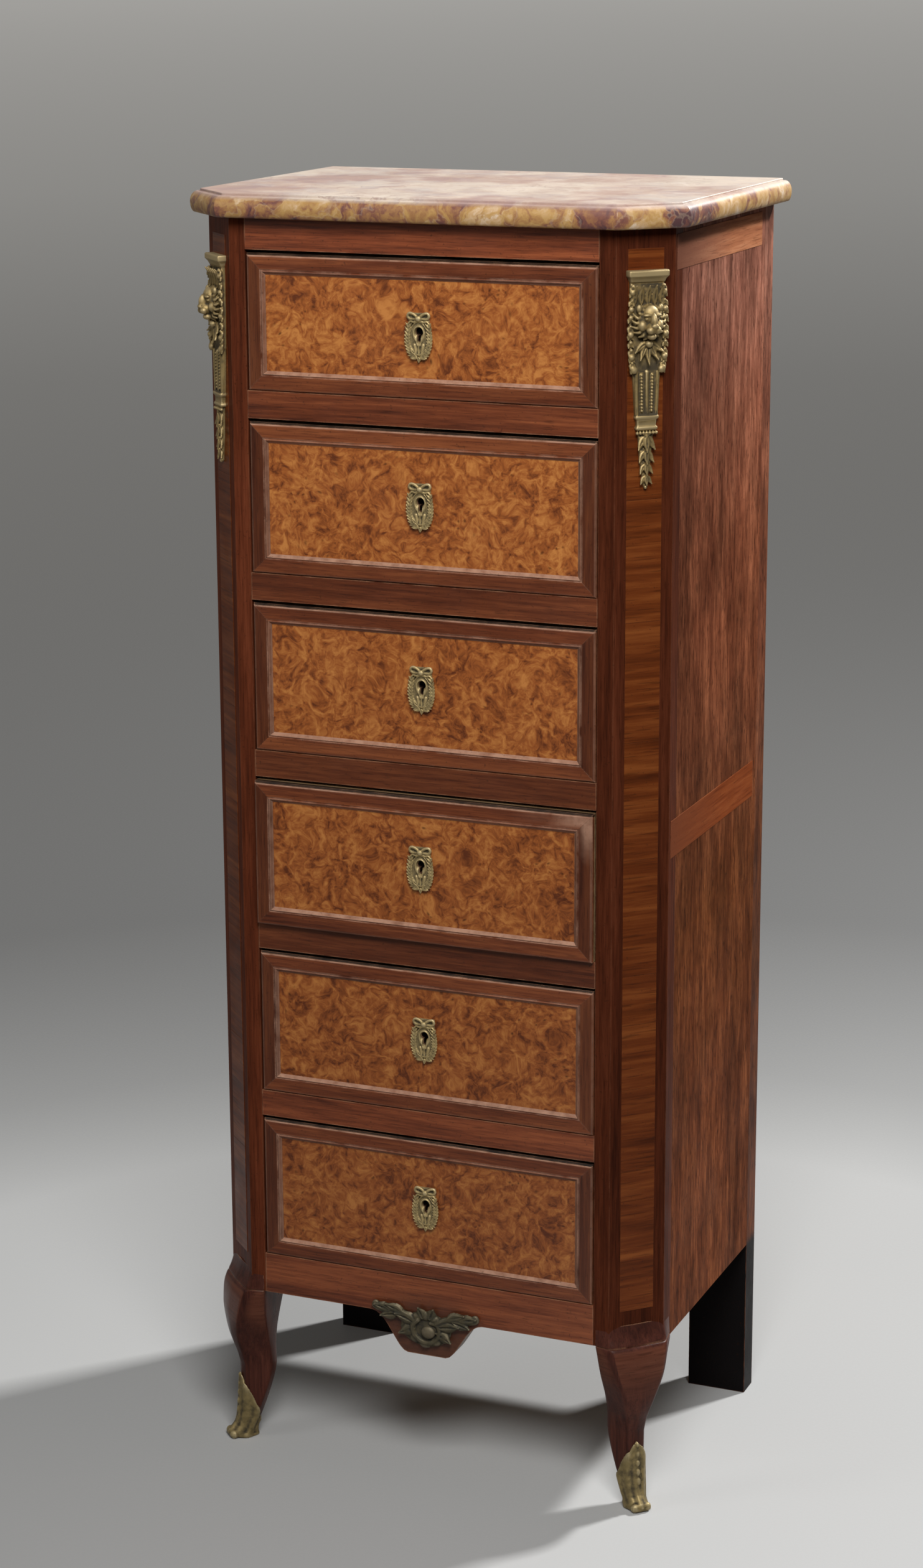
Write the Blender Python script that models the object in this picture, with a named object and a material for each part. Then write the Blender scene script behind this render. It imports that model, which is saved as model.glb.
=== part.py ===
"""Six-drawer chiffonier: canted corner posts, cabriole front legs and a marble top.

Metres, +Z up. The front faces -Y, and the origin is on the floor under the middle of the marble.
"""
import math

import bmesh
import bpy
from mathutils import Matrix, Vector

# Case
CASE_WIDTH = 0.460
CASE_DEPTH = 0.328
CANT = 0.041  # cut off each front corner, the same both ways
STILE_FACE = 0.0155  # front face of a corner post, from the drawer opening to the cant
POST_DEPTH = 0.060
SIDE_THICKNESS = 0.018
SIDE_DROP = 0.004  # side panels hang this far below the front rail
REAR_STILE_WIDTH = 0.061
REAR_STILE_DEPTH = 0.026
BACK_THICKNESS = 0.012
BACK_GROOVE = 0.008
BACK_INSET = 0.007  # back panel behind the rear face of the stiles
TOP_BOARD_THICKNESS = 0.014

# Heights, from the floor up; the lower drawers share what is left
TOTAL_HEIGHT = 1.250
LEG_HEIGHT = 0.170
APRON_HEIGHT = 0.041
RAIL_HEIGHT = 0.026
TOP_RAIL_HEIGHT = 0.029
TOP_OPENING = 0.1295
DRAWER_COUNT = 6

# Marble top
MARBLE_THICKNESS = 0.022
MARBLE_OVERHANG = 0.016
MARBLE_BACK_OVERHANG = 0.005
MARBLE_UNDER_INSET = 0.004
MARBLE_NOSE_INSET = 0.007
MARBLE_WAIST = 0.0099  # height of the edge's fullest part
MARBLE_FILLET = 0.002
MARBLE_NOSE_STEPS = 3

# Fits
SEAT_GAP = 0.0003  # between faces that touch
DRAWER_SIDE_GAP = 0.0015
DRAWER_TOP_GAP = 0.003
STOP_GAP = 0.0005  # between a shut drawer's tail and the rear stiles
STRIKE_CLEARANCE = 0.002  # round a thrown bolt in the rail above it

# Rails, tenons and runners
TENON_LENGTH = 0.012
TENON_THICKNESS = 0.010
TENON_SHOULDER = 0.005
TENON_SETBACK = 0.007
APRON_THICKNESS = 0.024
DUST_THICKNESS = 0.010
GUIDE_HEIGHT = 0.018

# Apron drop and its mount
DROP_TOP_WIDTH = 0.124
DROP_FOOT_WIDTH = 0.040
DROP_DEPTH = 0.0395
DROP_LEAN = 1.3  # above 1, the ogee turns in more at its shoulder
DROP_STEPS = 10
APRON_MOUNT_WIDTH = 0.124
APRON_MOUNT_HEIGHT = 0.046
APRON_MOUNT_RELIEF = 0.009

# Drawers
FRONT_THICKNESS = 0.021
FRAME_BAND = 0.0175
PANEL_RECESS = 0.0025
PANEL_BEVEL = 0.003
FRONT_ARRIS = 0.0015
LINING_THICKNESS = 0.010
LINING_DROP = 0.004  # sides stop this far below the front's top edge
BACK_DROP = 0.006  # and the back this far below the sides
BOTTOM_THICKNESS = 0.006
BOTTOM_RISE = 0.010
GROOVE_DEPTH = 0.005
TAIL_COUNT = 3
TAIL_LENGTH = 0.012
TAIL_ROOT = 0.26  # half-height of a dovetail, as a share of its pitch
TAIL_END = 0.36
AJAR_DRAWER = 4
AJAR = 0.006

# Locks and escutcheons
LOCK_WIDTH = 0.062
LOCK_HEIGHT = 0.090
LOCK_THICKNESS = 0.0105
LOCK_FLOOR = 0.006
KEYHOLE_DROP = 0.0655  # below the drawer front's top edge
KEYHOLE_RADIUS = 0.0036
KEYHOLE_SLOT = 0.0034
KEYHOLE_TAIL = 0.0090
KEYHOLE_SIDES = 16
BOLT_WIDTH = 0.030
BOLT_THICKNESS = 0.0044
BOLT_THROW = 0.009
BOLT_SINK = 0.0005
BOLT_TAIL_GAP = 0.004  # between the bolt's tail and the keyhole
ESCUTCHEON_HEIGHT = 0.047
ESCUTCHEON_WIDTH = 0.028
ESCUTCHEON_RELIEF = 0.0042
ESCUTCHEON_DROP = 0.0045  # the plate's middle, below the keyhole's round part

# Front legs and their shoes
ANKLE_WIDTH = 0.030
LEG_CORNER = 0.18  # share of each edge taken by a rounded corner
LEG_CROWN = 0.0015
HEEL_CUT = 0.05  # share of the inner edges taken off the heel
KNEE_SWELL = 0.014
FOOT_WIDTH = 0.022
FOOT_SWELL = 0.003
SHOE_WALL = 0.0036
SHOE_FIT = 0.0013  # between the shoe's wall and the leg inside it
SHOE_SOLE = 0.010
SHOE_HEEL_HEIGHT = 0.028
SHOE_TIP_HEIGHT = 0.070
SHOE_SLOPE = 3.0  # above 1, the rim climbs late, towards the tip
SHOE_TOE = 0.012
SHOE_SOLE_INSET = 0.002

# Corner mounts
CORNER_MOUNT_HEIGHT = 0.195
CORNER_MOUNT_WIDTH = 0.040
CORNER_MOUNT_RELIEF = 0.022
CORNER_MOUNT_DROP = 0.036  # below the marble

# Cast reliefs: where the haunch stands between edge and crown, as shares
HAUNCH_PLACE = 0.25
HAUNCH_RISE = 0.7

# Derived places
CUT_MARGIN = 0.002  # cutters run past the faces that they open
JOIN = 0.004  # overlap of blocks that are united
HALF_WIDTH = CASE_WIDTH / 2
OPENING_HALF = HALF_WIDTH - CANT - STILE_FACE
INNER_HALF = HALF_WIDTH - SIDE_THICKNESS
FRONT_Y = (MARBLE_OVERHANG - CASE_DEPTH - MARBLE_BACK_OVERHANG) / 2
BACK_Y = FRONT_Y + CASE_DEPTH
STILE_Y = BACK_Y - REAR_STILE_DEPTH
APRON_TOP = LEG_HEIGHT + APRON_HEIGHT
CASE_TOP = TOTAL_HEIGHT - MARBLE_THICKNESS
LOWER_COUNT = DRAWER_COUNT - 1
LOWER_SPACE = CASE_TOP - TOP_RAIL_HEIGHT - TOP_OPENING - APRON_TOP
OPENING = LOWER_SPACE / LOWER_COUNT - RAIL_HEIGHT
OPENINGS = [TOP_OPENING] + [OPENING] * LOWER_COUNT
FRONT_HALF = OPENING_HALF - DRAWER_SIDE_GAP
LINING_INNER = FRONT_HALF - LINING_THICKNESS
DRAWER_LENGTH = CASE_DEPTH - REAR_STILE_DEPTH - STOP_GAP
GROOVE_HEIGHT = BOTTOM_THICKNESS + 2 * SEAT_GAP
LOCK_Y = FRONT_THICKNESS - LOCK_THICKNESS / 2
STRIKE_DEPTH = BOLT_THROW - DRAWER_TOP_GAP + STRIKE_CLEARANCE
SLANT = math.cos(math.pi / 4)
CANT_CENTRE = (HALF_WIDTH - CANT / 2, FRONT_Y + CANT / 2)


def finish(name):
    """One look: a Principled surface with a colour, roughness and metallic value."""
    colour, roughness, metallic = FINISHES[name]
    material = bpy.data.materials.new(name)
    material.use_nodes = True
    shader = material.node_tree.nodes["Principled BSDF"]
    shader.inputs["Base Color"].default_value = (*colour, 1)
    shader.inputs["Roughness"].default_value = roughness
    shader.inputs["Metallic"].default_value = metallic
    material.diffuse_color = (*colour, 1)
    return material


FINISHES = {
    "breccia_marble": ((0.62, 0.44, 0.28), 0.25, 0.0),
    "rosewood_veneer": ((0.16, 0.05, 0.03), 0.30, 0.0),
    "burr_veneer": ((0.36, 0.13, 0.04), 0.28, 0.0),
    "oak": ((0.42, 0.28, 0.15), 0.60, 0.0),
    "gilt_bronze": ((0.55, 0.40, 0.15), 0.35, 1.0),
    "iron": ((0.20, 0.19, 0.18), 0.45, 1.0),
}


def mesh_from(build):
    """A closed mesh from a function that fills a bmesh."""
    bm = bmesh.new()
    build(bm)
    bmesh.ops.recalc_face_normals(bm, faces=bm.faces)
    mesh = bpy.data.meshes.new("shape")
    bm.to_mesh(mesh)
    bm.free()
    return mesh


def block(low, high):
    """A box between two corners."""
    low, high = Vector(low), Vector(high)
    matrix = Matrix.LocRotScale((low + high) / 2, None, high - low)
    return mesh_from(lambda bm: bmesh.ops.create_cube(bm, size=1, matrix=matrix))


def prism(outline, start, end, axis="Z"):
    """An outline extruded along an axis; its two numbers fill the other axes in X, Y, Z order."""
    along = "XYZ".index(axis)

    def point(pair, depth):
        values = list(pair)
        values.insert(along, depth)
        return Vector(values)

    def build(bm):
        face = bm.faces.new([bm.verts.new(point(pair, start)) for pair in outline])
        grown = bmesh.ops.extrude_face_region(bm, geom=[face])["geom"]
        moved = [item for item in grown if isinstance(item, bmesh.types.BMVert)]
        bmesh.ops.translate(bm, verts=moved, vec=point((0, 0), end - start))

    return mesh_from(build)


def loft(rings):
    """A closed skin over rings of points, with a cap on the first and the last."""
    def build(bm):
        loops = [[bm.verts.new(point) for point in ring] for ring in rings]
        for lower, upper in zip(loops, loops[1:]):
            for index in range(len(lower)):
                after = (index + 1) % len(lower)
                bm.faces.new((lower[index], lower[after], upper[after], upper[index]))
        bm.faces.new(loops[0])
        bm.faces.new(loops[-1])

    return mesh_from(build)


def combined(base, tools, operation):
    """The mesh of a base solid with others united to it or cut from it."""
    body = bpy.data.objects.new("body", base)
    bpy.context.collection.objects.link(body)
    helpers = [body]
    for mesh in tools:
        tool = bpy.data.objects.new("tool", mesh)
        bpy.context.collection.objects.link(tool)
        fit = body.modifiers.new("fit", "BOOLEAN")
        fit.operation = operation
        fit.solver = "EXACT"
        fit.object = tool
        helpers.append(tool)
    graph = bpy.context.evaluated_depsgraph_get()
    mesh = bpy.data.meshes.new_from_object(body.evaluated_get(graph))
    for helper in helpers:
        bpy.data.objects.remove(helper)
    return mesh


def mirrored(mesh):
    """The same shape for the left-hand side."""
    copy = mesh.copy()
    copy.transform(Matrix.Scale(-1, 4, (1, 0, 0)))
    copy.flip_normals()
    return copy


def smooth(mesh, angle=35):
    mesh.shade_smooth()
    mesh.set_sharp_from_angle(angle=math.radians(angle))
    return mesh


def piece(name, mesh, material, location=(0, 0, 0), parent=None, turn=0.0):
    """One named sub-part, in its place."""
    obj = bpy.data.objects.new(name, mesh)
    bpy.context.collection.objects.link(obj)
    mesh.materials.clear()
    mesh.materials.append(material)
    obj.parent = parent
    obj.location = location
    obj.rotation_euler.z = turn
    return obj


def relief(rows, point):
    """A cast mount with a flat back: rows of (along, low, high, edge relief, crown relief)."""
    def ring(along, low, high, edge, crown):
        inset = HAUNCH_PLACE * (high - low)
        haunch = edge + HAUNCH_RISE * (crown - edge)
        profile = [(low, 0), (low, edge), (low + inset, haunch), ((low + high) / 2, crown),
                   (high - inset, haunch), (high, edge), (high, 0)]
        return [point(along, across, raised + SEAT_GAP) for across, raised in profile]

    return smooth(loft([ring(*row) for row in rows]))


# Marble top

def case_plan(offset, back):
    """The case's plan grown by an offset on the front, cants and sides, with its own back line."""
    corner = offset * (math.sqrt(2) - 1)
    right = [(HALF_WIDTH + offset, back),
             (HALF_WIDTH + offset, FRONT_Y + CANT - corner),
             (HALF_WIDTH - CANT + corner, FRONT_Y - offset)]
    return right + [(-x, y) for x, y in reversed(right)]


def marble_profile():
    """Insets and heights of the moulded edge, from the underside up."""
    shoulder = MARBLE_THICKNESS - MARBLE_FILLET
    steps = [math.pi / 2 * k / MARBLE_NOSE_STEPS for k in range(MARBLE_NOSE_STEPS + 1)]
    under = [(MARBLE_UNDER_INSET * (1 - math.sin(a)), MARBLE_WAIST * (1 - math.cos(a))) for a in steps]
    over = [(MARBLE_NOSE_INSET * (1 - math.cos(a)), MARBLE_WAIST + (shoulder - MARBLE_WAIST) * math.sin(a))
            for a in steps[1:]]
    rim = MARBLE_NOSE_INSET + MARBLE_FILLET
    return under + over + [(rim, shoulder), (rim, MARBLE_THICKNESS)]


def marble_top():
    back = BACK_Y + MARBLE_BACK_OVERHANG
    base = CASE_TOP + SEAT_GAP
    lift = (MARBLE_THICKNESS - SEAT_GAP) / MARBLE_THICKNESS
    rings = []
    for inset, height in marble_profile():
        outline = case_plan(MARBLE_OVERHANG - inset, back)
        rings.append([(x, y, base + height * lift) for x, y in outline])
    return loft(rings)


# Carcass

POST_PLAN = [(OPENING_HALF, FRONT_Y), (HALF_WIDTH - CANT, FRONT_Y), (HALF_WIDTH, FRONT_Y + CANT),
             (HALF_WIDTH, FRONT_Y + POST_DEPTH), (OPENING_HALF, FRONT_Y + POST_DEPTH)]


def rail_tops():
    """Top of each rail, from the top rail down to the apron."""
    tops = [CASE_TOP]
    height = TOP_RAIL_HEIGHT
    for opening in OPENINGS:
        tops.append(tops[-1] - height - opening)
        height = RAIL_HEIGHT
    return tops


def rail_heights():
    return [TOP_RAIL_HEIGHT] + [RAIL_HEIGHT] * LOWER_COUNT + [APRON_HEIGHT]


def tenon(side, height, clearance=0.0):
    """A rail end's tenon, or its mortise with a clearance, from the rail's top face and front."""
    inner = OPENING_HALF - JOIN
    outer = OPENING_HALF + TENON_LENGTH + clearance
    low_x, high_x = sorted((side * inner, side * outer))
    return block((low_x, TENON_SETBACK - clearance, TENON_SHOULDER - height - clearance),
                 (high_x, TENON_SETBACK + TENON_THICKNESS + clearance, clearance - TENON_SHOULDER))


def front_post():
    """Right-hand post, with a mortise for each rail."""
    body = prism(POST_PLAN, LEG_HEIGHT, CASE_TOP)
    mortises = []
    for top, height in zip(rail_tops(), rail_heights()):
        mortise = tenon(1, height, SEAT_GAP)
        mortise.transform(Matrix.Translation((0, FRONT_Y, top)))
        mortises.append(mortise)
    return combined(body, mortises, "DIFFERENCE")


def side_panel():
    return block((INNER_HALF, FRONT_Y + POST_DEPTH + SEAT_GAP, LEG_HEIGHT - SIDE_DROP),
                 (HALF_WIDTH, STILE_Y - SEAT_GAP, CASE_TOP))


def rear_stile():
    """Right-hand rear stile, which runs down to the floor as a foot; grooved for the back panel."""
    inner = HALF_WIDTH - REAR_STILE_WIDTH
    groove_back = BACK_Y - BACK_INSET
    groove_front = groove_back - BACK_THICKNESS - 2 * SEAT_GAP
    body = block((inner, STILE_Y, 0), (HALF_WIDTH, BACK_Y, CASE_TOP))
    groove = block((inner - CUT_MARGIN, groove_front, LEG_HEIGHT - SIDE_DROP - SEAT_GAP),
                   (inner + BACK_GROOVE, groove_back, CASE_TOP + CUT_MARGIN))
    return combined(body, [groove], "DIFFERENCE")


def back_panel():
    half = HALF_WIDTH - REAR_STILE_WIDTH + BACK_GROOVE - SEAT_GAP
    back = BACK_Y - BACK_INSET - SEAT_GAP
    return block((-half, back - BACK_THICKNESS, LEG_HEIGHT - SIDE_DROP), (half, back, CASE_TOP))


def top_board():
    half = INNER_HALF - SEAT_GAP
    return block((-half, FRONT_Y + POST_DEPTH + SEAT_GAP, CASE_TOP - TOP_BOARD_THICKNESS),
                 (half, STILE_Y - SEAT_GAP, CASE_TOP))


def strike(height):
    """The slot under a rail that takes the bolt of the lock below, shut or ajar."""
    half = BOLT_WIDTH / 2 + STRIKE_CLEARANCE
    reach = BOLT_THICKNESS / 2 + STRIKE_CLEARANCE / 2
    return block((-half, LOCK_Y - reach - AJAR, -height - CUT_MARGIN),
                 (half, LOCK_Y + reach, STRIKE_DEPTH - height))


def top_rail():
    half = OPENING_HALF - SEAT_GAP
    body = block((-half, 0, -TOP_RAIL_HEIGHT), (half, POST_DEPTH, 0))
    body = combined(body, [tenon(side, TOP_RAIL_HEIGHT) for side in (1, -1)], "UNION")
    return combined(body, [strike(TOP_RAIL_HEIGHT)], "DIFFERENCE")


def runner(front, front_thickness):
    """A board that a drawer runs on, with a guide strip each side; its front fits the posts."""
    half = OPENING_HALF - SEAT_GAP
    board_half = INNER_HALF - SEAT_GAP
    start = POST_DEPTH + SEAT_GAP
    end = CASE_DEPTH - REAR_STILE_DEPTH - SEAT_GAP
    body = block((-half, front, -front_thickness), (half, start + JOIN, 0))
    board = block((-board_half, start, -DUST_THICKNESS), (board_half, end, 0))
    guides = []
    for side in (1, -1):
        low_x, high_x = sorted((side * OPENING_HALF, side * board_half))
        guides.append(block((low_x, start, -DUST_THICKNESS), (high_x, end, GUIDE_HEIGHT)))
    return combined(body, [board, *guides], "UNION")


def divider():
    """Front rail with tenons, in one with the dust board and guides behind it."""
    body = combined(runner(0, RAIL_HEIGHT), [tenon(side, RAIL_HEIGHT) for side in (1, -1)], "UNION")
    return combined(body, [strike(RAIL_HEIGHT)], "DIFFERENCE")


def apron():
    """Bottom rail with an ogee drop in the middle, and tenons."""
    half = OPENING_HALF - SEAT_GAP
    curve = []
    for step in range(DROP_STEPS + 1):
        share = step / DROP_STEPS
        across = (DROP_TOP_WIDTH + share * (DROP_FOOT_WIDTH - DROP_TOP_WIDTH)) / 2
        depth = DROP_DEPTH * (1 - math.cos(math.pi * share ** DROP_LEAN)) / 2
        curve.append((across, -APRON_HEIGHT - depth))
    right = [(half, 0), (half, -APRON_HEIGHT)] + curve
    outline = right + [(-x, z) for x, z in reversed(right)]
    body = prism(outline, 0, APRON_THICKNESS, axis="Y")
    return combined(body, [tenon(side, APRON_HEIGHT) for side in (1, -1)], "UNION")


# Front legs and their shoes, worked out for the right-hand corner

LEG_STATIONS = [
    # share of the height, blend from post to ankle, share of the knee's swell
    (1.00, 0.00, 0.54), (0.94, 0.07, 0.82), (0.86, 0.20, 0.97), (0.79, 0.36, 1.03), (0.68, 0.68, 0.92),
    (0.60, 0.86, 0.68), (0.54, 0.95, 0.43), (0.46, 1.00, 0.18), (0.34, 1.00, 0.12)]
SWELL_SHARES = [0.3, 1.0, 1.0, 0.3, 0.2, 0.2]  # the corners at the case's sides stay nearly flush
BLEND_POWERS = [1.0, 1.0, 1.0, 1.0, 0.6, 0.6]  # below 1, a corner comes in early, as the heel does
ANKLE_SHAPE = [(-0.66, -0.78), (-0.30, -0.02), (0.30, -0.02), (0.66, -0.78), (0.30, -1.08), (-0.30, -1.08)]
FOOT_SHAPE = [(-0.50, -0.09), (-0.32, 0.05), (0.32, 0.05), (0.50, -0.09), (0.26, -0.53), (-0.26, -0.53)]
SHOE_STATIONS = [
    # share of the shoe's height, share of the toe
    (0.08, 1.00), (0.18, 0.70), (0.30, 0.25), (0.50, 0.05), (0.75, 0.00), (1.00, 0.00)]


def to_corner(x, y):
    """Plan position as (along the cant, out from the cant)."""
    dx, dy = x - CANT_CENTRE[0], y - CANT_CENTRE[1]
    return Vector(((dx + dy) * SLANT, (dx - dy) * SLANT))


def from_corner(spot, height):
    along, out = spot
    return (CANT_CENTRE[0] + (along + out) * SLANT, CANT_CENTRE[1] + (along - out) * SLANT, height)


def leg_section(blend, swell, end_shape=ANKLE_SHAPE, end_width=ANKLE_WIDTH):
    """Rounded outline of the leg at one level, in corner positions, with a ridge on its face."""
    inner, front, back, rear, heel = [to_corner(x, y) for x, y in POST_PLAN]
    post = [inner, front, back, rear, heel.lerp(rear, HEEL_CUT), heel.lerp(inner, HEEL_CUT)]
    end = [Vector(pair) * end_width for pair in end_shape]
    corners = []
    for start, stop, share, power in zip(post, end, SWELL_SHARES, BLEND_POWERS):
        corners.append(start.lerp(stop, blend ** power) + Vector((0, share * swell)))
    outline = []
    for index, corner in enumerate(corners):
        before, after = corners[index - 1], corners[(index + 1) % len(corners)]
        outline += [corner.lerp(before, LEG_CORNER), corner.lerp(after, LEG_CORNER)]
        if index == 1:
            outline.append((corner + after) / 2 + Vector((0, LEG_CROWN)))
    return outline


def leg_foot():
    return leg_section(1.0, FOOT_SWELL, FOOT_SHAPE, FOOT_WIDTH)


def front_leg():
    rings = []
    for share, blend, swell in LEG_STATIONS:
        outline = leg_section(blend, swell * KNEE_SWELL)
        rings.append([from_corner(spot, share * LEG_HEIGHT - SEAT_GAP) for spot in outline])
    rings.append([from_corner(spot, SHOE_SOLE + SEAT_GAP) for spot in leg_foot()])
    return smooth(loft(rings))


def grown(outline, distance):
    """An outline pushed outwards by a distance."""
    moved = []
    for index, spot in enumerate(outline):
        run = outline[(index + 1) % len(outline)] - outline[index - 1]
        moved.append(spot + Vector((-run.y, run.x)).normalized() * distance)
    return moved


def shoe():
    """Cast shoe: a cup round the end of the leg, higher at the front ridge, with a toe."""
    share, blend, swell = LEG_STATIONS[-1]
    ankle_height = share * LEG_HEIGHT - SEAT_GAP
    floor = SHOE_SOLE + SEAT_GAP
    ankle, foot = leg_section(blend, swell * KNEE_SWELL), leg_foot()
    front = max(spot.y for spot in foot)
    depth = front - min(spot.y for spot in foot)
    ahead = [1 - (front - spot.y) / depth for spot in foot]
    climb = SHOE_TIP_HEIGHT - SHOE_HEEL_HEIGHT
    rise = [SHOE_HEEL_HEIGHT + climb * share ** SHOE_SLOPE for share in ahead]

    def wall(distance, levels, toe):
        ring = []
        shell = grown(foot, distance), grown(ankle, distance)
        for low, high, level, share in zip(*shell, levels, ahead):
            spot = low.lerp(high, min((level - floor) / (ankle_height - floor), 1.0))
            ring.append(from_corner(spot + Vector((0, toe * share ** 2)), level))
        return ring

    sole = [0.0 for _ in foot]
    rings = [wall(SHOE_WALL - SHOE_SOLE_INSET, sole, SHOE_TOE / 2)]
    for share, toe in SHOE_STATIONS:
        rings.append(wall(SHOE_WALL, [share * level for level in rise], toe * SHOE_TOE))
    rings.append(wall(SHOE_FIT, rise, 0))
    rings.append(wall(SHOE_FIT, [SHOE_SOLE for _ in foot], 0))
    return smooth(loft(rings), 50)


# Cast mounts

def corner_mount():
    """Corner chute: moulded cap, animal mask with swags, fluted tongue, collar and husk drop."""
    rows = [
        # share of the height, share of the width, edge relief, crown relief
        (0.00, 0.94, 0.34, 0.42), (0.03, 1.00, 0.40, 0.50), (0.05, 0.88, 0.22, 0.36),
        (0.11, 0.86, 0.20, 0.44), (0.17, 0.92, 0.22, 0.84), (0.23, 0.96, 0.22, 1.00),
        (0.30, 0.94, 0.22, 0.86), (0.38, 0.92, 0.20, 0.60), (0.45, 0.84, 0.18, 0.44),
        (0.48, 0.60, 0.16, 0.26), (0.65, 0.52, 0.16, 0.24), (0.66, 0.60, 0.22, 0.34),
        (0.72, 0.58, 0.22, 0.34), (0.73, 0.42, 0.12, 0.26), (0.85, 0.36, 0.10, 0.28),
        (0.93, 0.22, 0.08, 0.20), (1.00, 0.06, 0.05, 0.10)]
    half = CORNER_MOUNT_WIDTH / 2
    table = [(-down * CORNER_MOUNT_HEIGHT, -wide * half, wide * half,
              edge * CORNER_MOUNT_RELIEF, crown * CORNER_MOUNT_RELIEF) for down, wide, edge, crown in rows]
    return relief(table, lambda along, across, raised: (across, -raised, along))


def keyhole(start, end):
    """Round hole with a slot below it, about its own centre, along Y."""
    half = KEYHOLE_SLOT / 2
    opening = math.asin(half / KEYHOLE_RADIUS)
    sweep = 2 * (math.pi - opening)
    angles = [opening - math.pi / 2 + sweep * k / KEYHOLE_SIDES for k in range(KEYHOLE_SIDES + 1)]
    outline = [(KEYHOLE_RADIUS * math.cos(a), KEYHOLE_RADIUS * math.sin(a)) for a in angles]
    outline += [(-half, -KEYHOLE_TAIL), (half, -KEYHOLE_TAIL)]
    return prism(outline, start, end, axis="Y")


def escutcheon():
    """Key plate: ribbon bow, shield with laurel sides and a keyhole, about the keyhole's centre."""
    rows = [
        # share of the height, share of the width, edge relief, crown relief
        (0.00, 0.30, 0.3, 0.7), (0.06, 0.78, 0.3, 0.9), (0.16, 0.84, 0.3, 0.9), (0.22, 0.50, 0.3, 1.0),
        (0.32, 0.74, 0.3, 0.6), (0.45, 0.98, 0.3, 0.5), (0.62, 1.00, 0.3, 0.5), (0.78, 0.84, 0.3, 0.6),
        (0.92, 0.52, 0.3, 0.8), (1.00, 0.16, 0.3, 0.6)]
    half = ESCUTCHEON_WIDTH / 2
    top = ESCUTCHEON_HEIGHT / 2 - ESCUTCHEON_DROP
    table = [(top - down * ESCUTCHEON_HEIGHT, -wide * half, wide * half,
              edge * ESCUTCHEON_RELIEF, crown * ESCUTCHEON_RELIEF) for down, wide, edge, crown in rows]
    plate = relief(table, lambda along, across, raised: (across, -raised, along))
    return combined(plate, [keyhole(-ESCUTCHEON_RELIEF - CUT_MARGIN, CUT_MARGIN)], "DIFFERENCE")


def apron_mount():
    """Leafy mount across the drop, its wings along the rail's lower edge."""
    rows = [
        # share of the half-width, low edge and high edge as shares of the height, edge and crown relief
        (1.00, 0.10, 0.16, 0.15, 0.25), (0.80, 0.06, 0.26, 0.20, 0.60), (0.55, -0.08, 0.26, 0.20, 0.70),
        (0.38, -0.40, 0.22, 0.20, 0.75), (0.20, -0.66, 0.28, 0.25, 0.90), (0.00, -0.70, 0.33, 0.25, 1.00)]
    half = APRON_MOUNT_WIDTH / 2
    table = []
    for sign, side_rows in ((-1, rows), (1, rows[-2::-1])):
        for share, low, high, edge, crown in side_rows:
            table.append((sign * share * half, low * APRON_MOUNT_HEIGHT, high * APRON_MOUNT_HEIGHT,
                          edge * APRON_MOUNT_RELIEF, crown * APRON_MOUNT_RELIEF))
    return relief(table, lambda along, across, raised: (along, -raised, across))


# Drawers: x from the middle, y from the front face, z from the underside

def front_height(opening):
    return opening - DRAWER_TOP_GAP - SEAT_GAP


def tails(height, clearance=0.0):
    """Outlines of the dovetails on the front end of a drawer side, in Y and Z."""
    pitch = (height - LINING_DROP) / TAIL_COUNT
    tip = FRONT_THICKNESS - TAIL_LENGTH - clearance
    root = FRONT_THICKNESS + JOIN
    shapes = []
    for index in range(TAIL_COUNT):
        centre = (index + 0.5) * pitch
        at_end = TAIL_END * pitch + clearance
        at_root = TAIL_ROOT * pitch + clearance
        slope = (at_end - at_root) / (TAIL_LENGTH + clearance)
        at_back = at_root - slope * JOIN
        shapes.append([(tip, centre - at_end), (tip, centre + at_end),
                       (root, centre + at_back), (root, centre - at_back)])
    return shapes


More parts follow.
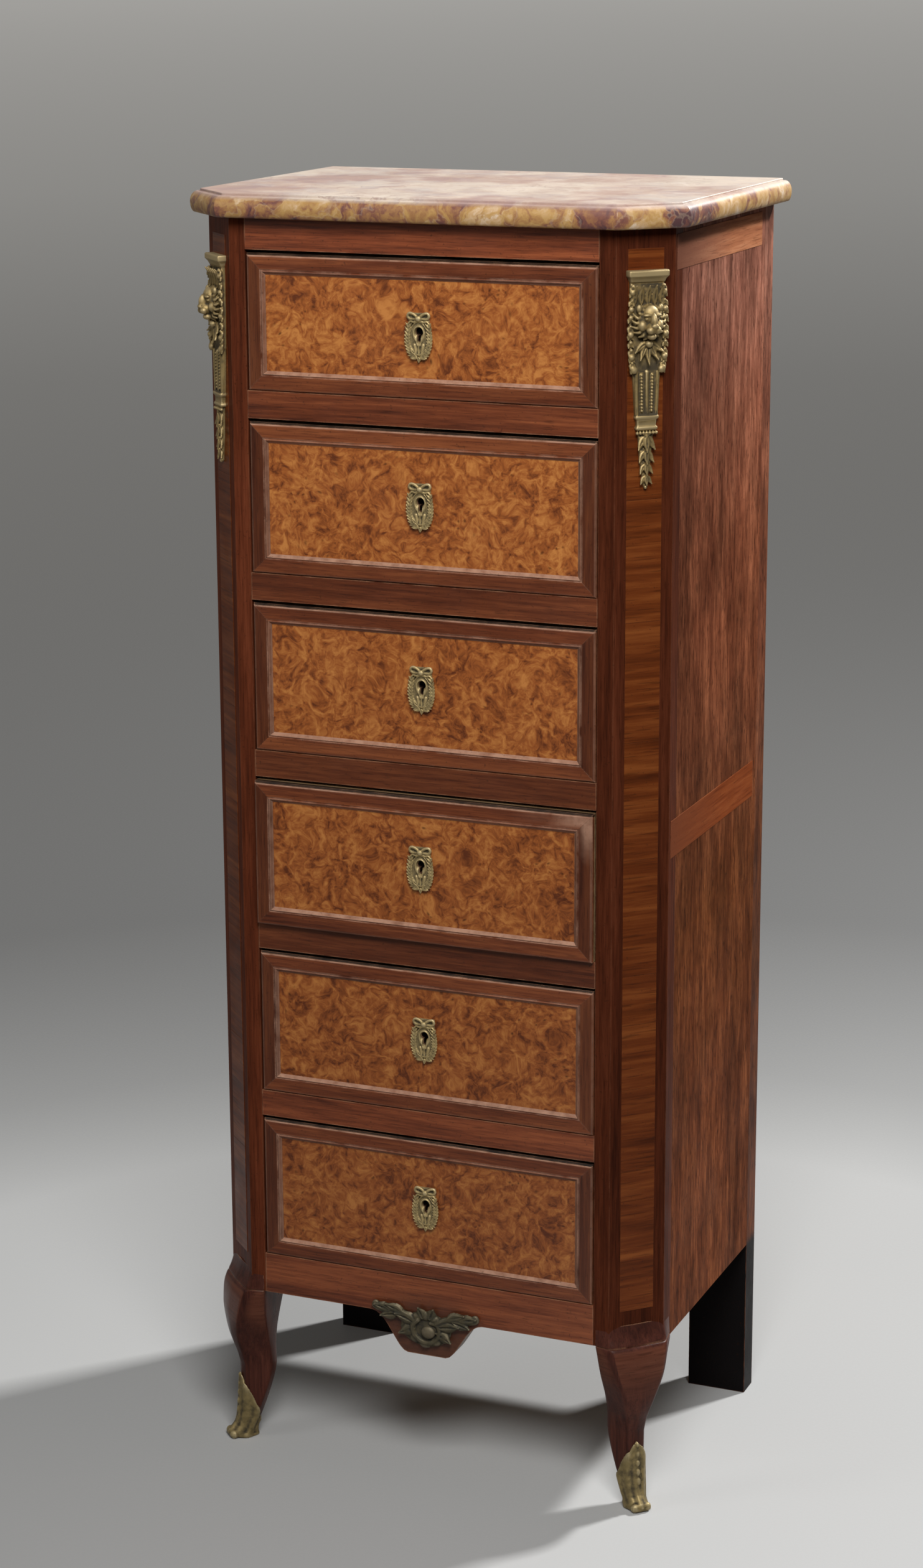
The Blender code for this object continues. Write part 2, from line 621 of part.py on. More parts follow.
def drawer_front(height):
    """Veneered front: sunk panel in a bevelled frame, cut for the lock, the key and the lining."""
    def build(bm):
        matrix = Matrix.LocRotScale(Vector((0, FRONT_THICKNESS / 2, height / 2)), None,
                                    Vector((2 * FRONT_HALF, FRONT_THICKNESS, height)))
        bmesh.ops.create_cube(bm, size=1, matrix=matrix)
        bm.normal_update()
        face = min(bm.faces, key=lambda item: item.normal.y)
        bmesh.ops.bevel(bm, geom=list(face.edges), offset=FRONT_ARRIS, segments=1, affect="EDGES")
        bm.normal_update()
        face = min(bm.faces, key=lambda item: item.calc_center_median().y)
        bmesh.ops.inset_individual(bm, faces=[face], thickness=FRAME_BAND - PANEL_BEVEL - FRONT_ARRIS)
        bmesh.ops.inset_individual(bm, faces=[face], thickness=PANEL_BEVEL, depth=-PANEL_RECESS)

    half_lock = LOCK_WIDTH / 2 + SEAT_GAP
    groove_half = LINING_INNER + GROOVE_DEPTH
    past = FRONT_THICKNESS + CUT_MARGIN
    hole = keyhole(-CUT_MARGIN, past)
    hole.transform(Matrix.Translation((0, 0, height - KEYHOLE_DROP)))
    cutters = [
        block((-half_lock, FRONT_THICKNESS - LOCK_THICKNESS - SEAT_GAP, height - LOCK_HEIGHT - SEAT_GAP),
              (half_lock, past, height + CUT_MARGIN)),
        hole,
        block((-groove_half, FRONT_THICKNESS - GROOVE_DEPTH, BOTTOM_RISE),
              (groove_half, past, BOTTOM_RISE + GROOVE_HEIGHT))]
    inside = LINING_INNER - SEAT_GAP
    outside = FRONT_HALF + CUT_MARGIN
    for shape in tails(height, SEAT_GAP):
        cutters.append(prism(shape, inside, outside, axis="X"))
        cutters.append(prism(shape, -outside, -inside, axis="X"))
    return combined(mesh_from(build), cutters, "DIFFERENCE")


def drawer_lining(height):
    """Two sides and a back dovetailed into one frame, grooved for the bottom board."""
    top = height - LINING_DROP
    start = FRONT_THICKNESS + SEAT_GAP
    parts = []
    for low_x, high_x in ((-FRONT_HALF, -LINING_INNER), (LINING_INNER, FRONT_HALF)):
        parts.append(block((low_x, start, 0), (high_x, DRAWER_LENGTH, top)))
        for shape in tails(height):
            parts.append(prism(shape, low_x, high_x, axis="X"))
    half = LINING_INNER + JOIN
    parts.append(block((-half, DRAWER_LENGTH - LINING_THICKNESS, BOTTOM_RISE + GROOVE_HEIGHT),
                       (half, DRAWER_LENGTH, top - BACK_DROP)))
    body = combined(parts[-1], parts[:-1], "UNION")
    groove_half = LINING_INNER + GROOVE_DEPTH
    groove = block((-groove_half, -CUT_MARGIN, BOTTOM_RISE),
                   (groove_half, DRAWER_LENGTH + CUT_MARGIN, BOTTOM_RISE + GROOVE_HEIGHT))
    return combined(body, [groove], "DIFFERENCE")


def drawer_bottom():
    half = LINING_INNER + GROOVE_DEPTH - SEAT_GAP
    low = BOTTOM_RISE + SEAT_GAP
    return block((-half, FRONT_THICKNESS - GROOVE_DEPTH + SEAT_GAP, low),
                 (half, DRAWER_LENGTH - SEAT_GAP, low + BOTTOM_THICKNESS))


def lock_case():
    """Lock let into the back of a drawer front, open at the top for its bolt; z from the top edge."""
    half = LOCK_WIDTH / 2
    slide_half = BOLT_WIDTH / 2 + SEAT_GAP
    slide_reach = BOLT_THICKNESS / 2 + SEAT_GAP
    face = FRONT_THICKNESS - LOCK_THICKNESS
    body = block((-half, face, -LOCK_HEIGHT), (half, FRONT_THICKNESS, 0))
    slide = block((-slide_half, LOCK_Y - slide_reach, LOCK_FLOOR - LOCK_HEIGHT),
                  (slide_half, LOCK_Y + slide_reach, CUT_MARGIN))
    hole = keyhole(face - CUT_MARGIN, LOCK_Y)
    hole.transform(Matrix.Translation((0, 0, -KEYHOLE_DROP)))
    return combined(body, [slide, hole], "DIFFERENCE")


def lock_bolt():
    """Flat bolt about its own top edge."""
    length = KEYHOLE_DROP - KEYHOLE_RADIUS - BOLT_TAIL_GAP
    return block((-BOLT_WIDTH / 2, -BOLT_THICKNESS / 2, -length), (BOLT_WIDTH / 2, BOLT_THICKNESS / 2, 0))


def add_carcass(looks):
    post, leg, stile, panel, boot = front_post(), front_leg(), rear_stile(), side_panel(), shoe()
    for side, shape in (("right", lambda mesh: mesh), ("left", mirrored)):
        piece(side + "_front_post", shape(post), looks["rosewood_veneer"])
        piece(side + "_front_leg", shape(leg), looks["rosewood_veneer"])
        piece(side + "_rear_stile", shape(stile), looks["rosewood_veneer"])
        piece(side + "_side_panel", shape(panel), looks["rosewood_veneer"])
        piece(side + "_shoe", shape(boot), looks["gilt_bronze"])
    piece("back_panel", back_panel(), looks["oak"])
    piece("top_board", top_board(), looks["oak"])
    piece("marble_top", marble_top(), looks["breccia_marble"])
    tops = rail_tops()
    piece("top_rail", top_rail(), looks["rosewood_veneer"], (0, FRONT_Y, tops[0]))
    divider_mesh = divider()
    for index in range(1, DRAWER_COUNT):
        piece(f"drawer_divider_{index}", divider_mesh, looks["rosewood_veneer"], (0, FRONT_Y, tops[index]))
    piece("apron_rail", apron(), looks["rosewood_veneer"], (0, FRONT_Y, APRON_TOP))
    piece("bottom_board", runner(APRON_THICKNESS + SEAT_GAP, DUST_THICKNESS), looks["oak"],
          (0, FRONT_Y, APRON_TOP))
    piece("apron_mount", apron_mount(), looks["gilt_bronze"], (0, FRONT_Y, LEG_HEIGHT))
    mount = corner_mount()
    for side, sign in (("right", 1), ("left", -1)):
        piece(side + "_corner_mount", mount, looks["gilt_bronze"],
              (sign * CANT_CENTRE[0], CANT_CENTRE[1], CASE_TOP - CORNER_MOUNT_DROP), turn=sign * math.pi / 4)


def add_drawers(looks):
    """Each drawer hangs on an empty at the foot of its front; its bolt has its own origin."""
    fronts = {opening: drawer_front(front_height(opening)) for opening in OPENINGS}
    linings = {opening: drawer_lining(front_height(opening)) for opening in OPENINGS}
    bottom, case, bolt, plate = drawer_bottom(), lock_case(), lock_bolt(), escutcheon()
    for index, (opening, floor) in enumerate(zip(OPENINGS, rail_tops()[1:]), start=1):
        name = f"drawer_{index}_"
        slide = bpy.data.objects.new(name + "slide", None)
        bpy.context.collection.objects.link(slide)
        out = AJAR if index == AJAR_DRAWER else 0.0
        slide.location = (0, FRONT_Y - out, floor + SEAT_GAP)
        height = front_height(opening)
        piece(name + "front", fronts[opening], looks["burr_veneer"], parent=slide)
        piece(name + "lining", linings[opening], looks["oak"], parent=slide)
        piece(name + "bottom", bottom, looks["oak"], parent=slide)
        piece(name + "lock", case, looks["iron"], (0, 0, height), slide)
        piece(name + "bolt", bolt, looks["iron"], (0, LOCK_Y, height - BOLT_SINK), slide)
        piece(name + "escutcheon", plate, looks["gilt_bronze"],
              (0, PANEL_RECESS, height - KEYHOLE_DROP), slide)


def main():
    for obj in list(bpy.data.objects):
        bpy.data.objects.remove(obj)
    looks = {name: finish(name) for name in FINISHES}
    add_carcass(looks)
    add_drawers(looks)


main()
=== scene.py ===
# %% [markdown]
# # A chiffonier, dressed for its portrait
# The joiner's work is already done: the imported frame holds the case, the six drawers, the locks and
# the marble at their real sizes. This lesson adds what the veneerer, the bronze founder and the
# polisher would add. We load the frame first and keep its box, so that at the end we can print how
# much the added pieces have grown it.

# %% Load the frame
import math
import random

import bmesh
import bpy
import numpy as np
from mathutils import Matrix, Vector


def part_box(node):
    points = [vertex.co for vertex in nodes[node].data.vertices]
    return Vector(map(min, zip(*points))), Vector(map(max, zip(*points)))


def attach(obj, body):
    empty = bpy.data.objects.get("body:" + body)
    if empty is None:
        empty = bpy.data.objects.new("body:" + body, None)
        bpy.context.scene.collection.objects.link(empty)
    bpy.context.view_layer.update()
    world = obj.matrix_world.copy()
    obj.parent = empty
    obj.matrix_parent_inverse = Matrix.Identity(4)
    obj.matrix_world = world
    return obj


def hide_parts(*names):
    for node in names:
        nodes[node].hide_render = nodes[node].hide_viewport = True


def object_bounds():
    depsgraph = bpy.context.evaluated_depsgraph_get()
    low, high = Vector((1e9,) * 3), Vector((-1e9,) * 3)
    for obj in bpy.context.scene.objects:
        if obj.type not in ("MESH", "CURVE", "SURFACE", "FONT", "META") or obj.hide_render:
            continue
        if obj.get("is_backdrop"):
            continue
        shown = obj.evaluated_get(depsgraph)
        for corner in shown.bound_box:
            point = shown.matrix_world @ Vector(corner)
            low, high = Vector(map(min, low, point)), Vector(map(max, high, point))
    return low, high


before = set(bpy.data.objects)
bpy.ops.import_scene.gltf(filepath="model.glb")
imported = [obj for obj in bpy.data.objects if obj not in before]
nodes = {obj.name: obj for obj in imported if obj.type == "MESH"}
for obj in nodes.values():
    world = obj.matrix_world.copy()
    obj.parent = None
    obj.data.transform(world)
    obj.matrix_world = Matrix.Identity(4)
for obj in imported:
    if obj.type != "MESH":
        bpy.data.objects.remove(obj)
cad_box = [list(corner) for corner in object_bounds()]
chance = random.Random(18)

# %% [markdown]
# ## Reading places off the frame
# Every piece that we add sits on something that the frame already has, so its place is read from
# there. One corner post gives the front plane, the width, the canted corner and the top of the legs.

# %% Main places of the case
post_low, post_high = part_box("right_front_post")
marble_low, marble_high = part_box("marble_top")
FRONT_Y = post_low.y
POST_BACK = post_high.y
OPENING_HALF = post_low.x
HALF_WIDTH = post_high.x
CASE_TOP = post_high.z
LEG_TOP = post_low.z
BACK_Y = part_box("right_rear_stile")[1].y
FACE_EDGE = max(v.co.x for v in nodes["right_front_post"].data.vertices if v.co.y - FRONT_Y < 1e-4)
CANT = HALF_WIDTH - FACE_EDGE
CANT_CENTRE = Vector((HALF_WIDTH - CANT / 2, FRONT_Y + CANT / 2))
CANT_WIDTH = CANT * math.sqrt(2)
SLANT = math.cos(math.pi / 4)
DRAWERS = range(1, 7)
SIDES = (("right", 1), ("left", -1))
print(f"cant {CANT_WIDTH * 1000:.0f} mm wide, legs {LEG_TOP * 1000:.0f} mm, case to {CASE_TOP:.3f} m")

# %% [markdown]
# ## The camera
# The photographer stood a little to the right and looked slightly down. The place, the turn and the
# focal length below were found by matching the straight edges of the case, and the picture is taken
# to be 1483 by 2520 pixels, so the sensor's long side is the upright one.

# %% Camera
CAMERA_PLACE = Vector((1.186, -2.904, 1.492))
CAMERA_TURN = math.radians(22.66)
CAMERA_TILT = math.radians(14.68)
CAMERA_ROLL = math.radians(-0.27)
FOCAL_LENGTH = 75.9
SENSOR = 36.0

camera = bpy.data.objects.new("camera", bpy.data.cameras.new("camera"))
bpy.context.scene.collection.objects.link(camera)
camera.data.sensor_width = SENSOR
camera.data.lens = FOCAL_LENGTH
level = Matrix.Rotation(math.pi / 2 - CAMERA_TILT, 4, "X")
turn = Matrix.Rotation(CAMERA_TURN, 4, "Z")
roll = Matrix.Rotation(CAMERA_ROLL, 4, "Z")
camera.matrix_world = Matrix.Translation(CAMERA_PLACE) @ turn @ level @ roll
bpy.context.scene.camera = camera
print("camera looks along", [round(x, 3) for x in camera.matrix_world.to_3x3() @ Vector((0, 0, -1))])

# %% [markdown]
# ## Studio light
# The shadow on the floor falls to the left and forward, so the main light stands behind the case
# on the right. A wide soft light hangs in front and above: it shows the drawer fronts, lets them fall
# off towards the floor and catches the lower bevels of the panels. A weak one on the left lifts the
# far corner. The levels are plain: a colour renders about as written.

# %% Lights
LIGHTS = {
    # name: place, aim, size in metres, power in watts
    "main_light": ((2.0, 2.8, 3.6), (0.0, 0.0, 0.5), 0.42, 285),
    "front_light": ((1.0, -1.9, 2.75), (0.0, -0.1, 0.6), 1.2, 92),
    "left_light": ((-2.3, -2.0, 1.9), (0.0, 0.0, 0.7), 0.9, 13),
}

for name, (place, aim, size, power) in LIGHTS.items():
    lamp = bpy.data.lights.new(name, "AREA")
    lamp.size = size
    lamp.energy = power
    holder = bpy.data.objects.new(name, lamp)
    holder.location = place
    holder.rotation_euler = (Vector(aim) - Vector(place)).to_track_quat("-Z", "Y").to_euler()
    bpy.context.scene.collection.objects.link(holder)
bpy.context.scene.view_settings.view_transform = "Standard"
print("lights:", ", ".join(LIGHTS))

# %% [markdown]
# ## Helpers for node trees
# A material in code is a list of nodes and links. Small helpers keep that list short: one puts a
# node in place and fills its inputs with values or with other nodes' outputs, one joins the results
# to the shader, and the others wrap the nodes that come up most, such as a colour ramp, a mix of two
# colours, a stretch of a value's range or a noise.

# %% Node helpers
def add(tree, kind, inputs=None, **settings):
    """A new node; each input gets a plain value or the output of another node."""
    node = tree.nodes.new("ShaderNode" + kind)
    for name, value in settings.items():
        setattr(node, name, value)
    for key, value in (inputs or {}).items():
        if isinstance(value, bpy.types.NodeSocket):
            tree.links.new(value, node.inputs[key])
        else:
            node.inputs[key].default_value = value
    return node


def feed(tree, shader, inputs):
    """Joins outputs of nodes to the shader's inputs of those names."""
    for name, output in inputs.items():
        tree.links.new(output, shader.inputs[name])


def ramp(tree, value, *stops):
    """Colour by value; each stop is a place from 0 to 1 and a colour."""
    node = add(tree, "ValToRGB", {"Fac": value})
    elements = node.color_ramp.elements
    elements.remove(elements[1])
    elements[0].position = stops[0][0]
    elements[0].color = (*stops[0][1], 1)
    for place, colour in stops[1:]:
        elements.new(place).color = (*colour, 1)
    return node.outputs["Color"]


def mix(tree, share, first, second, way="MIX"):
    """Two colours blended by a share; a colour is three numbers or an output."""
    node = add(tree, "Mix", {0: share}, data_type="RGBA", blend_type=way)
    for key, value in ((6, first), (7, second)):
        if isinstance(value, bpy.types.NodeSocket):
            tree.links.new(value, node.inputs[key])
        else:
            node.inputs[key].default_value = (*value, 1)
    return node.outputs[2]


def span(tree, value, low, high, to_low=0.0, to_high=1.0):
    """A value's range stretched to another range, and held inside it."""
    node = add(tree, "MapRange", {"Value": value, "From Min": low, "From Max": high,
                                  "To Min": to_low, "To Max": to_high})
    return node.outputs["Result"]


def tinted(tree, colour, tint):
    """A colour multiplied by a tint or by a plain shade."""
    return mix(tree, 1.0, colour, tint, "MULTIPLY")


def sums(tree, way, first, second):
    """Two values joined by one of the Math node's operations."""
    return add(tree, "Math", {0: first, 1: second}, operation=way).outputs["Value"]


def times(tree, first, second):
    return sums(tree, "MULTIPLY", first, second)


def noise(tree, place, scale, detail=2.0, rough=0.5, twist=0.0):
    node = add(tree, "TexNoise", {"Vector": place, "Scale": scale, "Detail": detail,
                                  "Roughness": rough, "Distortion": twist})
    return node.outputs["Fac"]


def scaled(tree, place, factors):
    return add(tree, "VectorMath", {0: place, 1: factors}, operation="MULTIPLY").outputs["Vector"]


def drifted(tree, place, scale, detail, reach):
    """A place that a noise pushes about, so that whatever is drawn there curls."""
    wander = add(tree, "TexNoise", {"Vector": place, "Scale": scale, "Detail": detail}).outputs["Color"]
    amounts = {0: wander, 1: (reach, reach, reach), 2: place}
    pushed = add(tree, "VectorMath", amounts, operation="MULTIPLY_ADD")
    return pushed.outputs["Vector"]


def away(tree, place, factors, point):
    """Distance from a point to a place whose axes have been scaled."""
    node = add(tree, "VectorMath", {0: scaled(tree, place, factors), 1: point}, operation="DISTANCE")
    return node.outputs["Value"]


def axes(tree, vector):
    """The X, Y and Z of a place or a direction."""
    return add(tree, "SeparateXYZ", {"Vector": vector}).outputs


def facing(tree):
    """The X, Y and Z of the way that the surface faces."""
    return axes(tree, add(tree, "NewGeometry").outputs["Normal"])


def stored(tree, name, kind="Fac"):
    """A number or a vector that the mesh stores on its points."""
    return add(tree, "Attribute", attribute_name=name).outputs[kind]


def bumped(tree, height, strength, depth):
    """The normal of a surface with a fine relief."""
    return add(tree, "Bump", {"Height": height, "Strength": strength, "Distance": depth}).outputs["Normal"]


def new_group(name, takes, gives):
    """A shader node group with named sockets; returns its tree, what it takes and what it gives."""
    tree = bpy.data.node_groups.new(name, "ShaderNodeTree")
    for label, kind in takes:
        tree.interface.new_socket(label, in_out="INPUT", socket_type="NodeSocket" + kind)
    for label, kind in gives:
        tree.interface.new_socket(label, in_out="OUTPUT", socket_type="NodeSocket" + kind)
    start = tree.nodes.new("NodeGroupInput")
    end = tree.nodes.new("NodeGroupOutput")

    def give(label, socket):
        tree.links.new(socket, end.inputs[label])

    return tree, start.outputs, give


def new_finish(name):
    """An empty material: itself, its tree, its Principled shader and the place on the object."""
    material = bpy.data.materials.new(name)
    material.use_nodes = True
    tree = material.node_tree
    return material, tree, tree.nodes["Principled BSDF"], add(tree, "TexCoord").outputs["Object"]


def background_rays(tree):
    """1 for the rays that meet the background: the camera's, and those that metal or glass sends on."""
    rays = add(tree, "LightPath").outputs
    shiny = sums(tree, "MAXIMUM", rays["Is Glossy Ray"], rays["Is Transmission Ray"])
    return sums(tree, "MAXIMUM", rays["Is Camera Ray"], shiny)


print("node helpers ready")

# %% [markdown]
# ## The backdrop
# The room adds very little light of its own. What the camera sees behind the floor, and what the
# metal mirrors, is a sheet of grey paper, so the world has two levels and each ray picks its own.

# %% World
WORLD_LEVEL = 0.03
WORLD_TINT = (1.0, 0.99, 0.97)
BACKDROP_TONE = (0.310, 0.305, 0.285)

world = bpy.data.worlds.new("studio")
world.use_nodes = True
sky = world.node_tree
glow = sky.nodes["Background"]
glow.inputs["Color"].default_value = (*WORLD_TINT, 1)
glow.inputs["Strength"].default_value = WORLD_LEVEL
backdrop = add(sky, "Background", {"Color": (*BACKDROP_TONE, 1)})
both = add(sky, "MixShader", {0: background_rays(sky), 1: glow.outputs[0], 2: backdrop.outputs[0]})
sky.links.new(both.outputs["Shader"], sky.nodes["World Output"].inputs["Surface"])
bpy.context.scene.world = world
print("backdrop tone", BACKDROP_TONE)

# %% [markdown]
# ## Shared effect: veneer grain
# All the woods here show the same three things at different strengths: fine streaks along the
# grain, broad bands of colour and short open pores. One node group makes all three from a place
# that is already squeezed along the grain, and each wood then colours them in its own way. A wood
# photograph would be quicker, but it would repeat, and it could not follow the mitres.

# %% Group: veneer grain
grain_group, taken, give = new_group(
    "veneer_grain", [("Place", "Vector"), ("Streak Scale", "Float"), ("Band Scale", "Float")],
    [("Streaks", "Float"), ("Bands", "Float"), ("Pores", "Float")])
streaks = noise(grain_group, taken["Place"], taken["Streak Scale"], 6.0, 0.68, 0.15)
bands = noise(grain_group, taken["Place"], taken["Band Scale"], 3.0, 0.55, 0.8)
pores = noise(grain_group, scaled(grain_group, taken["Place"], (3.0, 3.0, 3.0)), taken["Streak Scale"], 1.0)
give("Streaks", span(grain_group, streaks, 0.28, 0.72))
give("Bands", span(grain_group, bands, 0.30, 0.70))
give("Pores", span(grain_group, pores, 0.60, 0.68))
print("group", grain_group.name)

# %% [markdown]
# ## Shared effect: worn edges
# Two centuries of hands and dusters rub the polish off every arris, so edges look paler than the
# faces beside them. The Bevel node gives the normal that a rounded edge would have; where it
# differs from the true normal there is an edge near by. A noise breaks the line up.

# %% Group: edge wear
wear_group, taken, give = new_group(
    "edge_wear", [("Place", "Vector"), ("Reach", "Float")], [("Worn", "Float")])
eased = add(wear_group, "Bevel", {"Radius": taken["Reach"]}, samples=4).outputs["Normal"]
true = add(wear_group, "NewGeometry").outputs["Normal"]
agree = add(wear_group, "VectorMath", {0: eased, 1: true}, operation="DOT_PRODUCT").outputs["Value"]
edge = span(wear_group, agree, 0.985, 0.86)
patchy = span(wear_group, noise(wear_group, taken["Place"], 55.0, 4.0, 0.6), 0.34, 0.62)
give("Worn", times(wear_group, edge, patchy))
print("group", wear_group.name)

# %% [markdown]
# ## Shared effect: handling marks
# Polished and cast surfaces are never evenly shiny. Cloudy smears change the gloss, and small dark
# specks of old wax stay in the surface.

# %% Group: handling marks
marks_group, taken, give = new_group(
    "handling_marks", [("Place", "Vector")], [("Smears", "Float"), ("Specks", "Float")])
give("Smears", span(marks_group, noise(marks_group, taken["Place"], 16.0, 4.0, 0.6, 0.5), 0.32, 0.68))
give("Specks", span(marks_group, noise(marks_group, taken["Place"], 420.0, 2.0), 0.66, 0.74))


def smeared(tree, place, low, high):
    """A roughness that the smears move between two levels."""
    marks = add(tree, "Group", {"Place": place}, node_tree=marks_group)
    return span(tree, marks.outputs["Smears"], 0, 1, low, high)


print("group", marks_group.name)

# %% [markdown]
# ## Finish: polished veneers
# Rosewood is a dark red-brown wood with near-black streaks, used for the rails, the posts, the
# sides and the drawer frames. Tulipwood is its striped orange cousin, laid across the canted
# corners and in bands on the sides. Both are one recipe with other colours: the grain group mixes
# a dark, a middle and a pale tone, wear makes the arrises paler, and the pores give a faint bump.
# The posts come first. The left one is painted lighter, a painted light standing in for the light that
# reaches it only weakly.

# %% Polished veneer
ALONG_X = (0.045, 1.0, 1.0)
ALONG_Y = (1.0, 0.045, 1.0)
ALONG_Z = (1.0, 1.0, 0.045)
STREAK_SHARE = 0.55
FINE_STREAKS = 330.0
PORE_SHADE = 0.45
OLD_WAX = (0.02, 0.008, 0.004)
ARRIS_REACH = 0.0016
POLISH_GLOSS = (0.26, 0.42)
POLISH_GLEAM = 0.28
WORN_WOOD = (0.330, 0.165, 0.090)
WORN_DARK = (0.160, 0.060, 0.030)
POST_TONES = ((0.026, 0.0068, 0.0035), (0.061, 0.0147, 0.0061), (0.106, 0.0276, 0.0118))
# painted light: the left post's tones are raised by half for the weaker light on it
POST_PAINTED_LIGHT = {"right": 1.0, "left": 1.5}
POST_GLEAM = 0.015


def shaded(tones, share):
    return [tuple(share * x for x in tone) for tone in tones]


def grain_colour(tree, place, tones, streak_scale=230.0, band_scale=34.0, pores=0.4):
    """Colour of a wood from its dark, middle and pale tones, and the group that drew it."""
    grain = add(tree, "Group", {"Place": place, "Streak Scale": streak_scale, "Band Scale": band_scale},
                node_tree=grain_group)
    figure = add(tree, "Mix", {0: STREAK_SHARE, 2: grain.outputs["Bands"], 3: grain.outputs["Streaks"]})
    dark, middle, pale = tones
    colour = ramp(tree, figure.outputs[0], (0.12, dark), (0.48, middle), (0.88, pale))
    pore_colour = tuple(PORE_SHADE * x for x in dark)
    return mix(tree, times(tree, grain.outputs["Pores"], pores), colour, pore_colour), grain


def polish(tree, shader, place, colour, grain, pale, reach=ARRIS_REACH, gleam=POLISH_GLEAM):
    """The rubbed shellac surface over a wood: worn arrises, uneven gloss and a faint pore bump."""
    worn = add(tree, "Group", {"Place": place, "Reach": reach}, node_tree=wear_group).outputs["Worn"]
    marks = add(tree, "Group", {"Place": place}, node_tree=marks_group).outputs
    shine = span(tree, marks["Smears"], 0, 1, *POLISH_GLOSS)
    pits = times(tree, grain.outputs["Pores"], 2.0)
    relief = sums(tree, "SUBTRACT", grain.outputs["Streaks"], pits)
    feed(tree, shader, {
        "Base Color": mix(tree, times(tree, marks["Specks"], 0.5), mix(tree, worn, colour, pale), OLD_WAX),
        "Roughness": sums(tree, "ADD", shine, times(tree, worn, 0.15)),
        "Normal": bumped(tree, relief, 0.12, 0.0004)})
    shader.inputs["Specular IOR Level"].default_value = gleam


def post_wood(side):
    """Upright rosewood on a corner post, which has lost nearly all its gleam."""
    material, tree, shader, place = new_finish(f"rosewood_{side}_post")
    tones = shaded(POST_TONES, POST_PAINTED_LIGHT[side])
    colour, grain = grain_colour(tree, scaled(tree, place, ALONG_Z), tones, FINE_STREAKS)
    polish(tree, shader, place, colour, grain, WORN_DARK, gleam=POST_GLEAM)
    return material


post_veneers = {side: post_wood(side) for side, _ in SIDES}
print("post veneers:", ", ".join(veneer.name for veneer in post_veneers.values()))

# %% [markdown]
# ## Finish: the drawer frames
# The frames are strips of the same rosewood. A strip's mesh will store which way its grain runs, a
# painted shade for how dark the strip looks in the light, and where it is painted pale: a painted
# highlight on the bead and the top arris, and real wear at one worn corner, so one material serves all 24
# strips.

# %% Frame veneer
FRAME_TONES = ((0.050, 0.0115, 0.0052), (0.126, 0.0320, 0.0118), (0.232, 0.068, 0.0235))
WORN_AND_HIGHLIT_FRAME = (0.400, 0.225, 0.150)


def frame_wood():
    material, tree, shader, place = new_finish("rosewood_frame")
    laid = scaled(tree, stored(tree, "grain", "Vector"), ALONG_X)
    colour, grain = grain_colour(tree, laid, FRAME_TONES, FINE_STREAKS)
    patchy = span(tree, noise(tree, place, 70.0, 4.0, 0.6), 0.30, 0.60, 0.35, 1.0)
    # painted highlight on the beads and arrises, real wear at one drawer's corner; the stored shade is a
    # painted shade
    rubbed_and_highlit = times(tree, stored(tree, "rubbed_and_highlit"), patchy)
    worn = mix(tree, rubbed_and_highlit, tinted(tree, colour, stored(tree, "shade")), WORN_AND_HIGHLIT_FRAME)
    polish(tree, shader, place, worn, grain, WORN_AND_HIGHLIT_FRAME)
    return material


frame_veneer = frame_wood()
print("frame veneer:", frame_veneer.name)

# %% [markdown]
# ## Finish: the sides, with painted sheen and painted shade
# The right side is painted paler and bluer under the marble and towards its rear edge, a painted
# sheen where the light glances off it, and painted browner below, a painted shade. A colour ramp over
# the height and a stretch over the depth tint the wood, and a broken noise makes it blotchy. The upper
# tulipwood band gets the same painted sheen, most at its rear, and both bands are dull at the front corner.

# %% Side and band veneers
BROKEN_ALONG_Z = (1.0, 1.0, 0.12)
BLOTCH_STRETCH = (1.0, 1.0, 0.4)
SIDE_TONES = ((0.050, 0.0145, 0.0080), (0.120, 0.0395, 0.0215), (0.230, 0.086, 0.048))
SIDE_GLEAM = 0.004
# painted light: low down these tints are a painted shade, at the top a paler, bluer painted sheen
SIDE_PAINTED_LIGHT = [
    # height, painted tint for the light there
    (0.40, (0.93, 0.81, 0.55)), (0.57, (0.84, 0.74, 0.43)), (0.725, (0.88, 0.82, 0.66)),
    (0.805, (1.02, 0.92, 0.75)), (0.92, (1.15, 1.06, 0.92)), (1.04, (1.25, 1.28, 1.30)),
    (1.18, (1.65, 1.95, 2.35))]
# painted sheen: the upper part of the side is painted paler towards its rear edge
REAR_PAINTED_SHEEN = (0.72, 1.30)
REAR_SHEEN_HEIGHT = (0.60, 0.80)
SIDE_FRONT = FRONT_Y + CANT
BAND_TONES = ((0.112, 0.0230, 0.0065), (0.186, 0.0435, 0.0120), (0.268, 0.078, 0.0240))
# the bands are darker and duller towards the front corner
DULL_FRONT_BAND = (0.134, 0.039, 0.0170)
DULL_FRONT_LENGTH = 0.16
# painted sheen: the upper band is painted paler and bluer, most at its rear
BAND_SHEEN_FRONT = (0.85, 1.15, 1.60)
BAND_SHEEN_REAR = (2.00, 3.25, 5.60)
BAND_SHEEN_ABOVE = (1.10, 1.18)
SHEET_REACH = 0.0002
PLAIN = (1.0, 1.0, 1.0)


